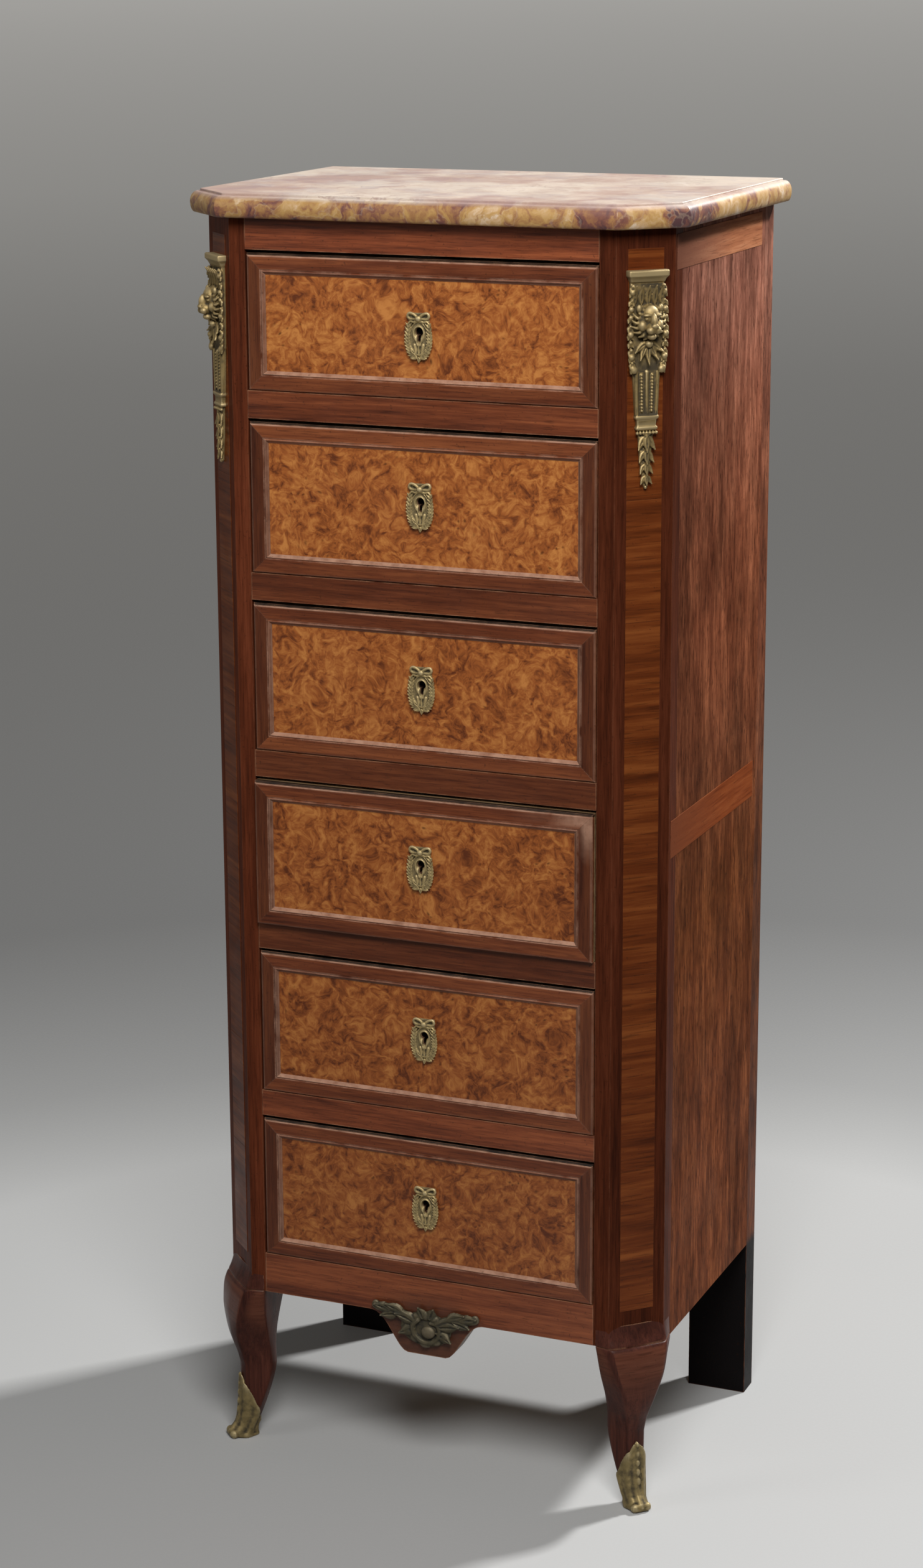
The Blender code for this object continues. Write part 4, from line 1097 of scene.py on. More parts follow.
for n in DRAWERS:
    low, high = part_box(f"drawer_{n}_front")
    body = f"drawer_{n}"
    strips = mesh_of(lambda bm: frame_strips(bm, low, high, n == WORN_DRAWER))
    settle(f"{body}_frame", strips, frame_veneer, body)
    sheet = mesh_of(lambda bm: burr_sheet(bm, low, high))
    settle(f"{body}_panel", sheet, burr_panel, body)
print("drawer fronts:", len(DRAWERS), "frames with burr panels")

# %% [markdown]
# ## Veneers on the corners and sides
# Each canted corner has a long panel of tulipwood whose stripes run across it. It was laid in short
# leaves, one above the other, so the tone jumps a little from leaf to leaf. The sides have two
# fields of upright rosewood, parted by a band of tulipwood, with another band under the marble.

# %% Tulipwood on the cants and sides
TULIP_TONES = ((0.046, 0.0096, 0.0022), (0.108, 0.0240, 0.0048), (0.192, 0.054, 0.0118))
TULIP_STREAKS = 170.0
TULIP_BANDS = 42.0
STRIPES_ACROSS = (0.05, 0.05, 1.0)
LEAF_TINTS = ((0.0, (0.94, 0.92, 0.90)), (1.0, (1.20, 1.27, 1.34)))
CANT_GLEAM = 0.10
CANT_PANEL_WIDTH = 0.035
CANT_PANEL_LOW = 0.205
CANT_PANEL_HIGH = CASE_TOP - 0.0172
CANT_LEAVES = 9
LEAF_JOINT = 0.0002
LEAF_SCATTER = 0.25
TOP_LEAF_SHADE = 0.05
TOP_LEAF_FALL = 0.30
SHEET = 0.0004
SHEET_SINK = 0.0006
SHEET_ARRIS = 0.00015
SIDE_BANDS = {"middle": (0.648, 0.684), "upper": (1.190, 1.2215)}
BAND_FRONT = SIDE_FRONT + 0.004
BAND_REAR = 0.133


def sheet_between(bm, low, high):
    """A thin sheet between two corners, with its edges eased on the outer side."""
    def ring(depth, inset):
        return [(low.x + inset, depth, low.z + inset), (high.x - inset, depth, low.z + inset),
                (high.x - inset, depth, high.z - inset), (low.x + inset, depth, high.z - inset)]

    skin(bm, [ring(high.y, 0), ring(low.y + SHEET_ARRIS, 0), ring(low.y, SHEET_ARRIS)])


def cant_leaves(bm):
    """Leaves of veneer on the cant, in a frame with X along the cant and -Y out of it."""
    tone = bm.verts.layers.float.new("tone")
    step = (CANT_PANEL_HIGH - CANT_PANEL_LOW) / CANT_LEAVES
    half = CANT_PANEL_WIDTH / 2
    for leaf in range(CANT_LEAVES):
        known = set(bm.verts)
        base = CANT_PANEL_LOW + leaf * step
        head = base + step - LEAF_JOINT
        sheet_between(bm, Vector((-half, -SHEET, base)), Vector((half, SHEET_SINK, head)))
        shade = leaf / CANT_LEAVES + chance.uniform(-LEAF_SCATTER, LEAF_SCATTER)
        shade = min(max(shade, 0.0), 1.0)
        shade = min(shade, TOP_LEAF_SHADE + TOP_LEAF_FALL * (CANT_LEAVES - 1 - leaf))
        for vert in set(bm.verts) - known:
            vert[tone] = shade


def on_cant(sign, height=0.0):
    """Where a mount or veneer made facing -Y stands on the right or left canted corner."""
    return (Matrix.Translation((sign * CANT_CENTRE.x, CANT_CENTRE.y, height))
            @ Matrix.Rotation(sign * math.pi / 4, 4, "Z"))


def cant_veneer():
    """Tulipwood with its stripes across; each leaf is cut from another place and has its own tint."""
    material, tree, shader, place = new_finish("tulipwood_cant")
    tone = stored(tree, "tone")
    offset = add(tree, "CombineXYZ", {"Y": tone}).outputs["Vector"]
    cut = add(tree, "VectorMath", {0: place, 1: offset}).outputs["Vector"]
    striped = scaled(tree, cut, STRIPES_ACROSS)
    colour, grain = grain_colour(tree, striped, TULIP_TONES, TULIP_STREAKS, TULIP_BANDS)
    toned = tinted(tree, colour, ramp(tree, tone, *LEAF_TINTS))
    polish(tree, shader, place, toned, grain, WORN_DARK, SHEET_REACH, CANT_GLEAM)
    return material


tulip_cant = cant_veneer()
onto_side = Matrix.Translation((HALF_WIDTH, 0, 0)) @ Matrix.Rotation(math.pi / 2, 4, "Z")
for side, sign in SIDES:
    leaves = mesh_of(cant_leaves)
    settle(f"{side}_cant_veneer", leaves, tulip_cant, "case", place=on_cant(sign))
    for label, (foot, head) in SIDE_BANDS.items():
        corners = Vector((BAND_FRONT, -SHEET, foot)), Vector((BAND_REAR, SHEET_SINK, head))
        band = mesh_of(lambda bm: sheet_between(bm, *corners))
        band.transform(onto_side)
        settle(f"{side}_{label}_band", on_side(band, sign), band_veneer, "case")
print("tulipwood on the cants and", 2 * len(SIDE_BANDS), "side bands")

# %% [markdown]
# ## The back boards
# Behind, the case is closed with three plain oak boards in the grooves of the rear stiles, planed
# by hand and eased along their edges, with a small gap for the wood to move.

# %% Back boards
BACK_BOARDS = 3
BOARD_GAP = 0.0012
BOARD_ARRIS = 0.0012


def back_boards(bm):
    low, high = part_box("back_panel")
    step = (high.x - low.x) / BACK_BOARDS
    for board in range(BACK_BOARDS):
        start = low.x + board * step + BOARD_GAP / 2
        end = low.x + (board + 1) * step - BOARD_GAP / 2
        outline = [(start, low.y), (end, low.y), (end, high.y), (start, high.y)]
        soft = eased_corners(outline, BOARD_ARRIS / (high.y - low.y))
        skin(bm, [[(p.x, p.y, z) for p in soft] for z in (low.z, high.z)])


settle("back_boards", mesh_of(back_boards), oak_upright, "case", ["back_panel"])
print("back:", BACK_BOARDS, "boards")

# %% [markdown]
# ## The cabriole legs
# A front leg grows out of the post, swells at the knee and shrinks to the ankle before it turns
# out at the toe. Its outline at each level blends from the plan of the post to the small plan of
# the ankle. A few stations down the leg say how far, a smooth line runs through them, and the skin
# goes over the rings.

# %% Shape of the front legs
LEG_STATIONS = [
    # share of the height, blend from post to ankle, share of the knee's swell
    (1.12, 0.00, -0.06), (1.09, 0.00, 0.02), (1.045, 0.00, 0.20), (1.008, 0.00, 0.42),
    (1.00, 0.02, 0.40), (0.99, 0.00, 0.56), (0.94, 0.07, 0.82), (0.86, 0.20, 0.97), (0.79, 0.36, 1.03),
    (0.68, 0.68, 0.92), (0.60, 0.86, 0.68), (0.54, 0.95, 0.43), (0.46, 1.00, 0.18)]
SWELL_SHARES = (0.3, 1.0, 1.0, 0.3, 0.2, 0.2)
BLEND_POWERS = (1.0, 1.0, 1.0, 1.0, 0.6, 0.6)
ANKLE_WIDTH = 0.030
# corners along and out from the cant, in shares of the width
ANKLE_SHAPE = [(-0.66, -0.78), (-0.30, -0.02), (0.30, -0.02), (0.66, -0.78), (0.30, -1.08), (-0.30, -1.08)]
FOOT_SHAPE = [(-0.50, -0.09), (-0.32, 0.05), (0.32, 0.05), (0.50, -0.09), (0.26, -0.53), (-0.26, -0.53)]
HEEL_CUT = 0.05
LEG_CORNER = 0.16
LEG_CROWN = 0.0018
KNEE_SWELL = 0.014
FOOT_WIDTH = 0.0205
FOOT_SWELL = 0.003
SHOE_SOLE = 0.010
LEG_STEPS = 4
FOOT_STEPS = 8
FOOT_TURN = 1.35


def to_corner(x, y):
    """Plan position as (along the cant, out from the cant)."""
    dx, dy = x - CANT_CENTRE.x, y - CANT_CENTRE.y
    return Vector(((dx + dy) * SLANT, (dx - dy) * SLANT))


def from_corner(place, height):
    """A point of the case from such a plan position and a height."""
    x = CANT_CENTRE.x + (place.x + place.y) * SLANT
    y = CANT_CENTRE.y + (place.x - place.y) * SLANT
    return Vector((x, y, height))


def leg_section(blend, swell, end_shape=ANKLE_SHAPE, end_width=ANKLE_WIDTH):
    """Rounded outline of the leg at one level, with a soft ridge down its face."""
    plan = [(OPENING_HALF, FRONT_Y), (FACE_EDGE, FRONT_Y), (HALF_WIDTH, FRONT_Y + CANT),
            (HALF_WIDTH, POST_BACK), (OPENING_HALF, POST_BACK)]
    inner, front, back, rear, heel = [to_corner(x, y) for x, y in plan]
    post = [inner, front, back, rear, heel.lerp(rear, HEEL_CUT), heel.lerp(inner, HEEL_CUT)]
    end = [Vector(pair) * end_width for pair in end_shape]
    corners = []
    for start, stop, share, power in zip(post, end, SWELL_SHARES, BLEND_POWERS):
        corners.append(start.lerp(stop, max(blend, 0.0) ** power) + Vector((0, share * swell)))
    ridge = (corners[1] + corners[2]) / 2 + Vector((0, LEG_CROWN))
    corners.insert(2, ridge)
    return eased_corners(corners, LEG_CORNER)


def leg_foot():
    return leg_section(1.0, FOOT_SWELL, FOOT_SHAPE, FOOT_WIDTH)


def leg_rings():
    stations = [Vector((share, blend, swell * KNEE_SWELL)) for share, blend, swell in LEG_STATIONS]
    rings = []
    for share, blend, swell in flow(stations, LEG_STEPS):
        rings.append([from_corner(place, share * LEG_TOP) for place in leg_section(blend, swell)])
    ankle, foot = rings[-1], [from_corner(place, SHOE_SOLE) for place in leg_foot()]
    for step in range(1, FOOT_STEPS + 1):
        share = step / FOOT_STEPS
        ring = [high.lerp(low, share ** FOOT_TURN) for high, low in zip(ankle, foot)]
        height = ankle[0].z + (SHOE_SOLE - ankle[0].z) * share
        rings.append([Vector((place.x, place.y, height)) for place in ring])
    return rings


print("legs:", len(leg_rings()), "rings each")

# %% [markdown]
# The legs wear dark upright rosewood. Across the face of each knee lies a paler leaf, so the finish
# asks which way the surface looks and how high it is: only the canted face between the knee's foot
# and head turns pale.

# %% Veneer on the front legs
LEG_TONES = ((0.025, 0.0078, 0.0055), (0.056, 0.0165, 0.0105), (0.098, 0.031, 0.0190))
KNEE_TONES = ((0.046, 0.0140, 0.0078), (0.084, 0.0270, 0.0150), (0.134, 0.048, 0.0270))
KNEE_STREAKS = 200.0
KNEE_FADE = (0.112, 0.138)
KNEE_TOP = (LEG_TOP + 0.001, LEG_TOP)
CANTED_LOOK = (1.20, 1.28)
LEG_GLEAM = 0.10


def leg_veneer():
    """Dark upright rosewood, with paler wood laid across the face of the knee."""
    material, tree, shader, place = new_finish("rosewood_leg")
    upright, grain = grain_colour(tree, scaled(tree, place, ALONG_Z), LEG_TONES, FINE_STREAKS)
    crossed, _ = grain_colour(tree, scaled(tree, place, STRIPES_ACROSS), KNEE_TONES, KNEE_STREAKS)
    look = facing(tree)
    sideways = add(tree, "Math", {0: look["X"]}, operation="ABSOLUTE").outputs["Value"]
    canted = span(tree, sums(tree, "SUBTRACT", sideways, look["Y"]), *CANTED_LOOK)
    height = axes(tree, place)["Z"]
    knee = times(tree, span(tree, height, *KNEE_TOP), span(tree, height, *KNEE_FADE))
    colour = mix(tree, times(tree, canted, knee), upright, crossed)
    polish(tree, shader, place, colour, grain, WORN_WOOD, gleam=LEG_GLEAM)
    return material


leg_wood = leg_veneer()
for side, sign in SIDES:
    leg = on_side(mesh_of(lambda bm: skin(bm, leg_rings())), sign)
    settle(f"{side}_cabriole_leg", leg, leg_wood, "case", [f"{side}_front_leg"])
print("legs dressed in", leg_wood.name)

# %% [markdown]
# ## The founder's kit
# The mounts are built from a few forms that a chaser would know: a bead, a bar that follows a
# curve, a leaf with a vein, and a moulded slab. They overlap freely. A voxel remesh then fuses them
# into one skin with soft joins, much as molten metal does, and a decimation drops the faces that
# the shape can spare. Last, each point is compared with a smoothed copy of the surface: where it
# lies below, it is a hollow, and that number is kept for the finish.

# %% Forms for castings
LEAF_SECTION = [
    # across and out, from the left edge over the two lobes beside the vein and back behind
    (-1.0, 0.0), (-0.62, 0.75), (-0.25, 1.0), (0.0, 0.35), (0.25, 1.0), (0.62, 0.75), (1.0, 0.0),
    (0.0, -0.9)]
LEAF_RINGS = 7
LEAF_SWELL = 0.75
LEAF_ENDS = 0.12
LEAF_THINNING = 0.45
EASED_EDGE = 0.0008
EASED_SHARE = 0.4
SUNK = 0.0005
BAR_START = Vector((0.2, 1, 0.1))


def spot(across, out, up):
    """A point of a mount: across the face, out of it, and up."""
    return Vector((across, -out, up))


def bead(bm, centre, radii, segments=14):
    """A ball or egg with its radii across, out and up."""
    matrix = Matrix.LocRotScale(centre, None, Vector(radii))
    rows = segments // 2 + 2
    bmesh.ops.create_uvsphere(bm, u_segments=segments, v_segments=rows, radius=1.0, matrix=matrix)


def bar(bm, points, start_radius, end_radius=None, sides=8):
    """A round bar along a line, tapering from one radius to another, with round ends."""
    end_radius = start_radius if end_radius is None else end_radius
    last = len(points) - 1
    turns = [2 * math.pi * k / sides for k in range(sides)]
    rings = []
    for index, point in enumerate(points):
        run = (points[min(index + 1, last)] - points[max(index - 1, 0)]).normalized()
        first = run.cross(BAR_START).normalized()
        second = run.cross(first)
        radius = start_radius + (end_radius - start_radius) * index / last
        rings.append([point + first * radius * math.cos(a) + second * radius * math.sin(a) for a in turns])
    skin(bm, rings)
    bead(bm, points[0], [start_radius] * 3, 8)
    bead(bm, points[-1], [end_radius] * 3, 8)


def leaf(bm, root, angle, length, width, thickness, lift=0.0, curl=0.0):
    """A pointed leaf from a root, at an angle in the face; its tip lifts and curls outwards."""
    along = Vector((math.cos(angle), 0, math.sin(angle)))
    across = Vector((-along.z, 0, along.x))
    rings = []
    for step in range(LEAF_RINGS):
        t = step / (LEAF_RINGS - 1)
        half = width / 2 * max(math.sin(math.pi * t ** LEAF_SWELL), LEAF_ENDS)
        thick = thickness * (1 - LEAF_THINNING * t)
        centre = root + along * length * t + Vector((0, -(lift * t + curl * t ** 3), 0))
        rings.append([centre + across * half * x + Vector((0, -thick * y, 0)) for x, y in LEAF_SECTION])
    skin(bm, rings)


def moulding(bm, levels):
    """A slab whose width and relief change with height: rows of (up, half-width, out)."""
    rings = []
    for up, half, out in levels:
        soft = min(EASED_EDGE, EASED_SHARE * out)
        rings.append([spot(-half, -SUNK, up), spot(-half, out - soft, up), spot(-half + soft, out, up),
                      spot(half - soft, out, up), spot(half, out - soft, up), spot(half, -SUNK, up)])
    skin(bm, rings)


print("forms ready: bead, bar, leaf and moulding")

# %% Casting
HOLLOW_PASSES = 12
HOLLOW_DEPTH = 0.0006
EASE_PASSES = 2


def mark_hollows(mesh):
    """Stores on each point how deep it lies under a smoothed copy of the surface."""
    count = len(mesh.vertices)
    place = np.empty(count * 3)
    normal = np.empty(count * 3)
    ends = np.empty(len(mesh.edges) * 2, np.int64)
    mesh.vertices.foreach_get("co", place)
    mesh.vertices.foreach_get("normal", normal)
    mesh.edges.foreach_get("vertices", ends)
    place, normal, ends = place.reshape(-1, 3), normal.reshape(-1, 3), ends.reshape(-1, 2)
    near = np.maximum(np.bincount(ends.ravel(), minlength=count), 1)[:, None]
    soft = place
    for _ in range(HOLLOW_PASSES):
        total = np.zeros_like(soft)
        np.add.at(total, ends[:, 0], soft[ends[:, 1]])
        np.add.at(total, ends[:, 1], soft[ends[:, 0]])
        soft = 0.5 * soft + 0.5 * total / near
    depth = ((soft - place) * normal).sum(1) / HOLLOW_DEPTH
    layer = mesh.attributes.new("hollow", "FLOAT", "POINT")
    layer.data.foreach_set("value", np.clip(depth, -1, 1).astype(np.float32))


def cast(build, voxel, keep):
    """One casting from overlapping forms: fused, eased, thinned and marked."""
    rough = bpy.data.objects.new("rough", mesh_of(build))
    bpy.context.scene.collection.objects.link(rough)
    fuse = rough.modifiers.new("fuse", "REMESH")
    fuse.mode = "VOXEL"
    fuse.voxel_size = voxel
    ease = rough.modifiers.new("ease", "SMOOTH")
    ease.factor = 0.5
    ease.iterations = EASE_PASSES
    thin = rough.modifiers.new("thin", "DECIMATE")
    thin.ratio = keep
    graph = bpy.context.evaluated_depsgraph_get()
    mesh = bpy.data.meshes.new_from_object(rough.evaluated_get(graph))
    bpy.data.objects.remove(rough)
    mesh.shade_smooth()
    mark_hollows(mesh)
    return mesh


print("castings: eased", EASE_PASSES, "times, hollows found in", HOLLOW_PASSES, "passes")

# %% [markdown]
# ## The corner mounts
# A chute hangs on each cant under the marble: a moulded cap, upright leaves, the mask of a beast
# with a heavy muzzle between garlands, a fluted tongue strung with beads, a collar, and a drop of
# husks. All sizes are in metres down from the cap's top.

# %% Corner mount: cap, tongue, collar and husks
CAP = [(0.0000, 0.0190, 0.0076), (-0.0010, 0.0195, 0.0084), (-0.0052, 0.0194, 0.0084),
       (-0.0062, 0.0184, 0.0074),
       (-0.0078, 0.0176, 0.0060), (-0.0105, 0.0168, 0.0048)]
BACK_PLATE = [(-0.0100, 0.0166, 0.0036), (-0.0500, 0.0160, 0.0036), (-0.0860, 0.0146, 0.0036),
              (-0.0905, 0.0118, 0.0036)]
TONGUE = [(-0.0880, 0.0136, 0.0034), (-0.1290, 0.0108, 0.0030)]
COLLAR = [(-0.1275, 0.0104, 0.0044), (-0.1290, 0.0114, 0.0060), (-0.1308, 0.0114, 0.0060),
          (-0.1324, 0.0098, 0.0046),
          (-0.1375, 0.0094, 0.0044), (-0.1390, 0.0105, 0.0056), (-0.1406, 0.0105, 0.0056),
          (-0.1420, 0.0090, 0.0042)]
TAIL = [(-0.1420, 0.0078, 0.0024), (-0.1700, 0.0056, 0.0022), (-0.1930, 0.0016, 0.0020)]
HUSKS = 4


def chute_body(bm):
    for levels in (CAP, BACK_PLATE, TONGUE, COLLAR, TAIL):
        moulding(bm, levels)
    for across in (-0.0106, 0.0, 0.0106):
        bar(bm, [spot(across, 0.0034, -0.0900), spot(across * 0.88, 0.0032, -0.1280)], 0.0019)
    for across in (-0.0053, 0.0053):
        for step in range(12):
            up = -0.0925 - 0.0029 * step
            bead(bm, spot(across * (1 - 0.01 * step), 0.0036, up), (0.0014, 0.0016, 0.0013), 8)
    for step in range(-3, 4):
        bead(bm, spot(0.0031 * step, 0.0044, -0.1440), (0.0016, 0.0018, 0.0016), 10)
    for husk in range(HUSKS):
        size = 0.86 ** husk
        up = -0.1462 - 0.0132 * sum(0.90 ** k for k in range(husk))
        bead(bm, spot(0, 0.0036, up), (0.0030 * size, 0.0024 * size, 0.0018 * size), 10)
        for lean, lift in ((-0.50, 0.0), (0.50, 0.0), (0.0, 0.0014)):
            leaf(bm, spot(0.0022 * math.sin(lean), 0.0028 + lift, up), -math.pi / 2 + lean,
                 0.0155 * size, 0.0074 * size, 0.0020, lift=0.0006, curl=0.0016 * size)
    bead(bm, spot(0, 0.0024, -0.1930), (0.0017, 0.0020, 0.0019), 10)


print("chute: cap, tongue, collar and", HUSKS, "husks")

# %% [markdown]
# The mask is an animal's: a broad muzzle with a wide nose, heavy brows, small ears and a mane of
# locks. Balls and eggs placed like clay pellets do the modelling, and the remesh joins them.

# %% Corner mount: mask, leaves and garlands
MASK = [
    # across, out, up, then radii across, out and up; across is mirrored where it isn't zero
    (0.0, 0.0060, -0.0450, 0.0118, 0.0078, 0.0158), (0.0, 0.0105, -0.0390, 0.0078, 0.0062, 0.0088),
    (0.0, 0.0145, -0.0500, 0.0062, 0.0066, 0.0052), (0.0, 0.0168, -0.0440, 0.0031, 0.0046, 0.0072),
    (0.0, 0.0206, -0.0478, 0.0034, 0.0018, 0.0022), (0.0034, 0.0176, -0.0515, 0.0036, 0.0036, 0.0034),
    (0.0048, 0.0146, -0.0385, 0.0040, 0.0024, 0.0016), (0.0050, 0.0134, -0.0418, 0.0019, 0.0019, 0.0015),
    (0.0080, 0.0100, -0.0480, 0.0042, 0.0044, 0.0050), (0.0, 0.0130, -0.0575, 0.0042, 0.0044, 0.0030),
    (0.0104, 0.0088, -0.0330, 0.0026, 0.0022, 0.0036)]
MANE_LOCKS = 9
GARLAND = [(0.0148, -0.0140), (0.0166, -0.0340), (0.0172, -0.0560), (0.0160, -0.0760), (0.0142, -0.0890)]
GARLAND_STEPS = 3


def chute_mask(bm):
    for across, out, up, *radii in MASK:
        for sign in ((1, -1) if across else (1,)):
            bead(bm, spot(sign * across, out, up), radii, 18)
    for lock in range(MANE_LOCKS):
        swing = math.pi * (0.02 + 0.46 * lock / (MANE_LOCKS - 1))
        for sign in (1, -1):
            ray = Vector((sign * math.sin(1.9 * swing), 0, math.cos(1.9 * swing)))
            side = Vector((ray.z, 0, -ray.x)) * sign
            root = spot(0, 0.0085, -0.0455) + ray * 0.0100
            line = [root, root + ray * 0.0030 + side * 0.0012 + Vector((0, -0.0010, 0)),
                    root + ray * 0.0058 - side * 0.0004 + Vector((0, 0.0018, 0))]
            bar(bm, flow(line, 3), 0.0019, 0.0010)
    for across in (-0.0132, -0.0066, 0.0, 0.0066, 0.0132):
        root = spot(across, 0.0032, -0.0310)
        leaf(bm, root, math.pi / 2, 0.0185, 0.0072, 0.0024, lift=0.0022, curl=0.0042)
    for lean in (-0.95, -0.48, 0.0, 0.48, 0.95):
        leaf(bm, spot(0, 0.0046, -0.0620), -math.pi / 2 + lean, 0.0215 - 0.004 * abs(lean), 0.0072, 0.0026,
             lift=0.0012, curl=0.0030)
    bead(bm, spot(0, 0.0078, -0.0645), (0.0038, 0.0034, 0.0034), 12)


def chute_garlands(bm):
    for sign in (1, -1):
        line = flow([spot(sign * across, 0.0040, up) for across, up in GARLAND], GARLAND_STEPS)
        bar(bm, line, 0.0012)
        for index, point in enumerate(line[:-1]):
            run = line[index + 1] - point
            heading = math.atan2(run.z, run.x)
            for lean in (-0.50, 0.50):
                leaf(bm, point, heading + lean, 0.0058, 0.0046, 0.0022, lift=0.0010, curl=0.0003)
            plump = 0.0021 * (1 + 0.45 * math.sin(2.3 * index))
            bead(bm, point + spot(0, 0.0018, 0), (plump, 0.8 * plump, plump), 10)
        bead(bm, line[-1] + spot(-0.0006 * sign, 0.0012, 0.0016), (0.0036, 0.0028, 0.0036), 14)


def build_chute(bm):
    chute_body(bm)
    chute_mask(bm)
    chute_garlands(bm)


CHUTE_VOXEL = 0.00052
chute = cast(build_chute, CHUTE_VOXEL, 0.28)
CHUTE_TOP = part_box("right_corner_mount")[1].z
for side, sign in SIDES:
    settle(f"{side}_chute", chute, bronze, "case", [f"{side}_corner_mount"],
           on_cant(sign, CHUTE_TOP))
print("chutes:", len(chute.polygons), "faces each")

# %% [markdown]
# ## The key plates
# Each escutcheon is a small shield with a keyhole, tied with a ribbon bow above and wrapped in two
# laurel sprays. The shield is a ring of skin between the keyhole and its outline, so the hole is
# really open and the dark of the lock shows through it.

# %% Escutcheons
KEY_RADIUS = 0.0038
KEY_SLOT = 0.0019
KEY_TAIL = 0.0092
SHIELD = (0.0096, 0.0158)
SHIELD_DROP = 0.0062
SHIELD_SIDES = 40
BOW = [(0.0004, 0.0124), (0.0044, 0.0158), (0.0088, 0.0168), (0.0104, 0.0142), (0.0080, 0.0118),
       (0.0010, 0.0120)]
RIBBON = [(0.0006, 0.0112), (0.0044, 0.0088), (0.0080, 0.0094), (0.0108, 0.0066)]
LAUREL = [(0.0014, -0.0238), (0.0070, -0.0206), (0.0102, -0.0130), (0.0109, -0.0040), (0.0098, 0.0062)]
KEY_TABLET = [(0.0172, 0.0094, 0.0018), (0.0164, 0.0102, 0.0024), (0.0112, 0.0102, 0.0020),
              (0.0040, 0.0104, 0.0012)]
KEY_RINGS = [
    # share of the way from the keyhole to the outline, relief
    (0.00, -0.0004), (0.00, 0.0009), (0.14, 0.0028), (0.28, 0.0030), (0.38, 0.0018),
    (0.76, 0.0020), (0.90, 0.0032), (1.00, 0.0020), (1.00, -0.0004)]


def keyhole_reach(angle):
    """Distance from the middle of the keyhole to its edge in one direction."""
    slot = 0.0
    if math.sin(angle) < 0:
        slot = min(KEY_SLOT / max(abs(math.cos(angle)), 1e-6), KEY_TAIL / -math.sin(angle))
    return max(KEY_RADIUS, slot)


def shield(bm):
    rings = []
    for share, relief in KEY_RINGS:
        ring = []
        for step in range(SHIELD_SIDES):
            angle = 2 * math.pi * (step + 0.5) / SHIELD_SIDES
            ray = Vector((math.cos(angle), math.sin(angle)))
            edge = ray * keyhole_reach(angle)
            outline = Vector((SHIELD[0] * ray.x, SHIELD[1] * ray.y - SHIELD_DROP))
            place = edge.lerp(outline, share)
            ring.append(spot(place.x, relief, place.y))
        rings.append(ring)
    skin(bm, rings, closed=True)


def build_escutcheon(bm):
    shield(bm)
    moulding(bm, KEY_TABLET)
    for sign in (1, -1):
        bar(bm, flow([spot(sign * x, 0.0026, z) for x, z in BOW], 4), 0.0016, 0.0013)
        bar(bm, flow([spot(sign * x, 0.0022, z) for x, z in RIBBON], 4), 0.0014, 0.0009)
        line = flow([spot(sign * x, 0.0018, z) for x, z in LAUREL], 3)
        bar(bm, line, 0.0009)
        for index, point in enumerate(line[:-1]):
            run = line[index + 1] - point
            heading = math.atan2(run.z, run.x)
            for lean in (-0.55, 0.55):
                leaf(bm, point, heading + lean, 0.0056, 0.0026, 0.0016, lift=0.0006, curl=0.0008)
    for across in (-0.0042, 0.0, 0.0042):
        bar(bm, [spot(across, 0.0016, -0.0118), spot(across * 0.7, 0.0018, -0.0200)], 0.0013)
    bead(bm, spot(0, 0.0030, 0.0120), (0.0030, 0.0022, 0.0028), 12)
    leaf(bm, spot(0, 0.0018, -0.0225), -math.pi / 2, 0.0054, 0.0046, 0.0022)


plate = cast(build_escutcheon, 0.00034, 0.30)
for n in DRAWERS:
    low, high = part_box(f"drawer_{n}_front")
    place = Matrix.Translation((0, low.y + PANEL_FACE, high.z - KEY_HEIGHT))
    settle(f"drawer_{n}_key_plate", plate, plate_bronze, f"drawer_{n}",
           [f"drawer_{n}_escutcheon"], place)
print("key plates:", len(plate.polygons), "faces each")

# %% [markdown]
# ## The apron mount
# In the middle of the apron sits a leafy cartouche in the older, livelier taste: a boss in a scrolled
# rim, big ragged leaves round it, and wings of leaves that run out along the rail.

# %% Apron mount
BOSS = (0.0040, -0.0128)
RIM = [(-0.0075, -0.0015), (-0.0128, -0.0085), (-0.0105, -0.0185), (-0.0010, -0.0245), (0.0095, -0.0225),
       (0.0152, -0.0140), (0.0130, -0.0055), (0.0060, -0.0035)]
WING = [(0.0120, -0.0030), (0.0240, 0.0030), (0.0370, 0.0048), (0.0480, 0.0034), (0.0545, 0.0060),
        (0.0530, 0.0098), (0.0495, 0.0082)]
CARTOUCHE_LEAVES = [
    # root across and up, angle in degrees, length, width
    (-0.0080, -0.0050, 164, 0.025, 0.0150), (-0.0100, -0.0110, 202, 0.019, 0.0140),
    (0.0130, -0.0070, 10, 0.024, 0.0135), (0.0120, -0.0130, -26, 0.018, 0.0130),
    (-0.0020, 0.0000, 112, 0.013, 0.0120), (0.0050, 0.0000, 70, 0.013, 0.0120)]
CARTOUCHE_LOBES = [
    # across, up, radii across and up
    (-0.0080, 0.0010, 0.0058, 0.0046), (0.0010, 0.0028, 0.0060, 0.0048), (0.0095, 0.0008, 0.0056, 0.0044),
    (-0.0105, -0.0215, 0.0058, 0.0046), (0.0000, -0.0262, 0.0066, 0.0044),
    (0.0110, -0.0225, 0.0058, 0.0046),
    (-0.0195, -0.0150, 0.0054, 0.0052), (0.0205, -0.0165, 0.0052, 0.0050)]
WING_LEAVES = [(0.0220, 0.0020, 22, 0.022), (0.0290, 0.0010, -12, 0.019), (0.0370, 0.0036, 14, 0.018)]


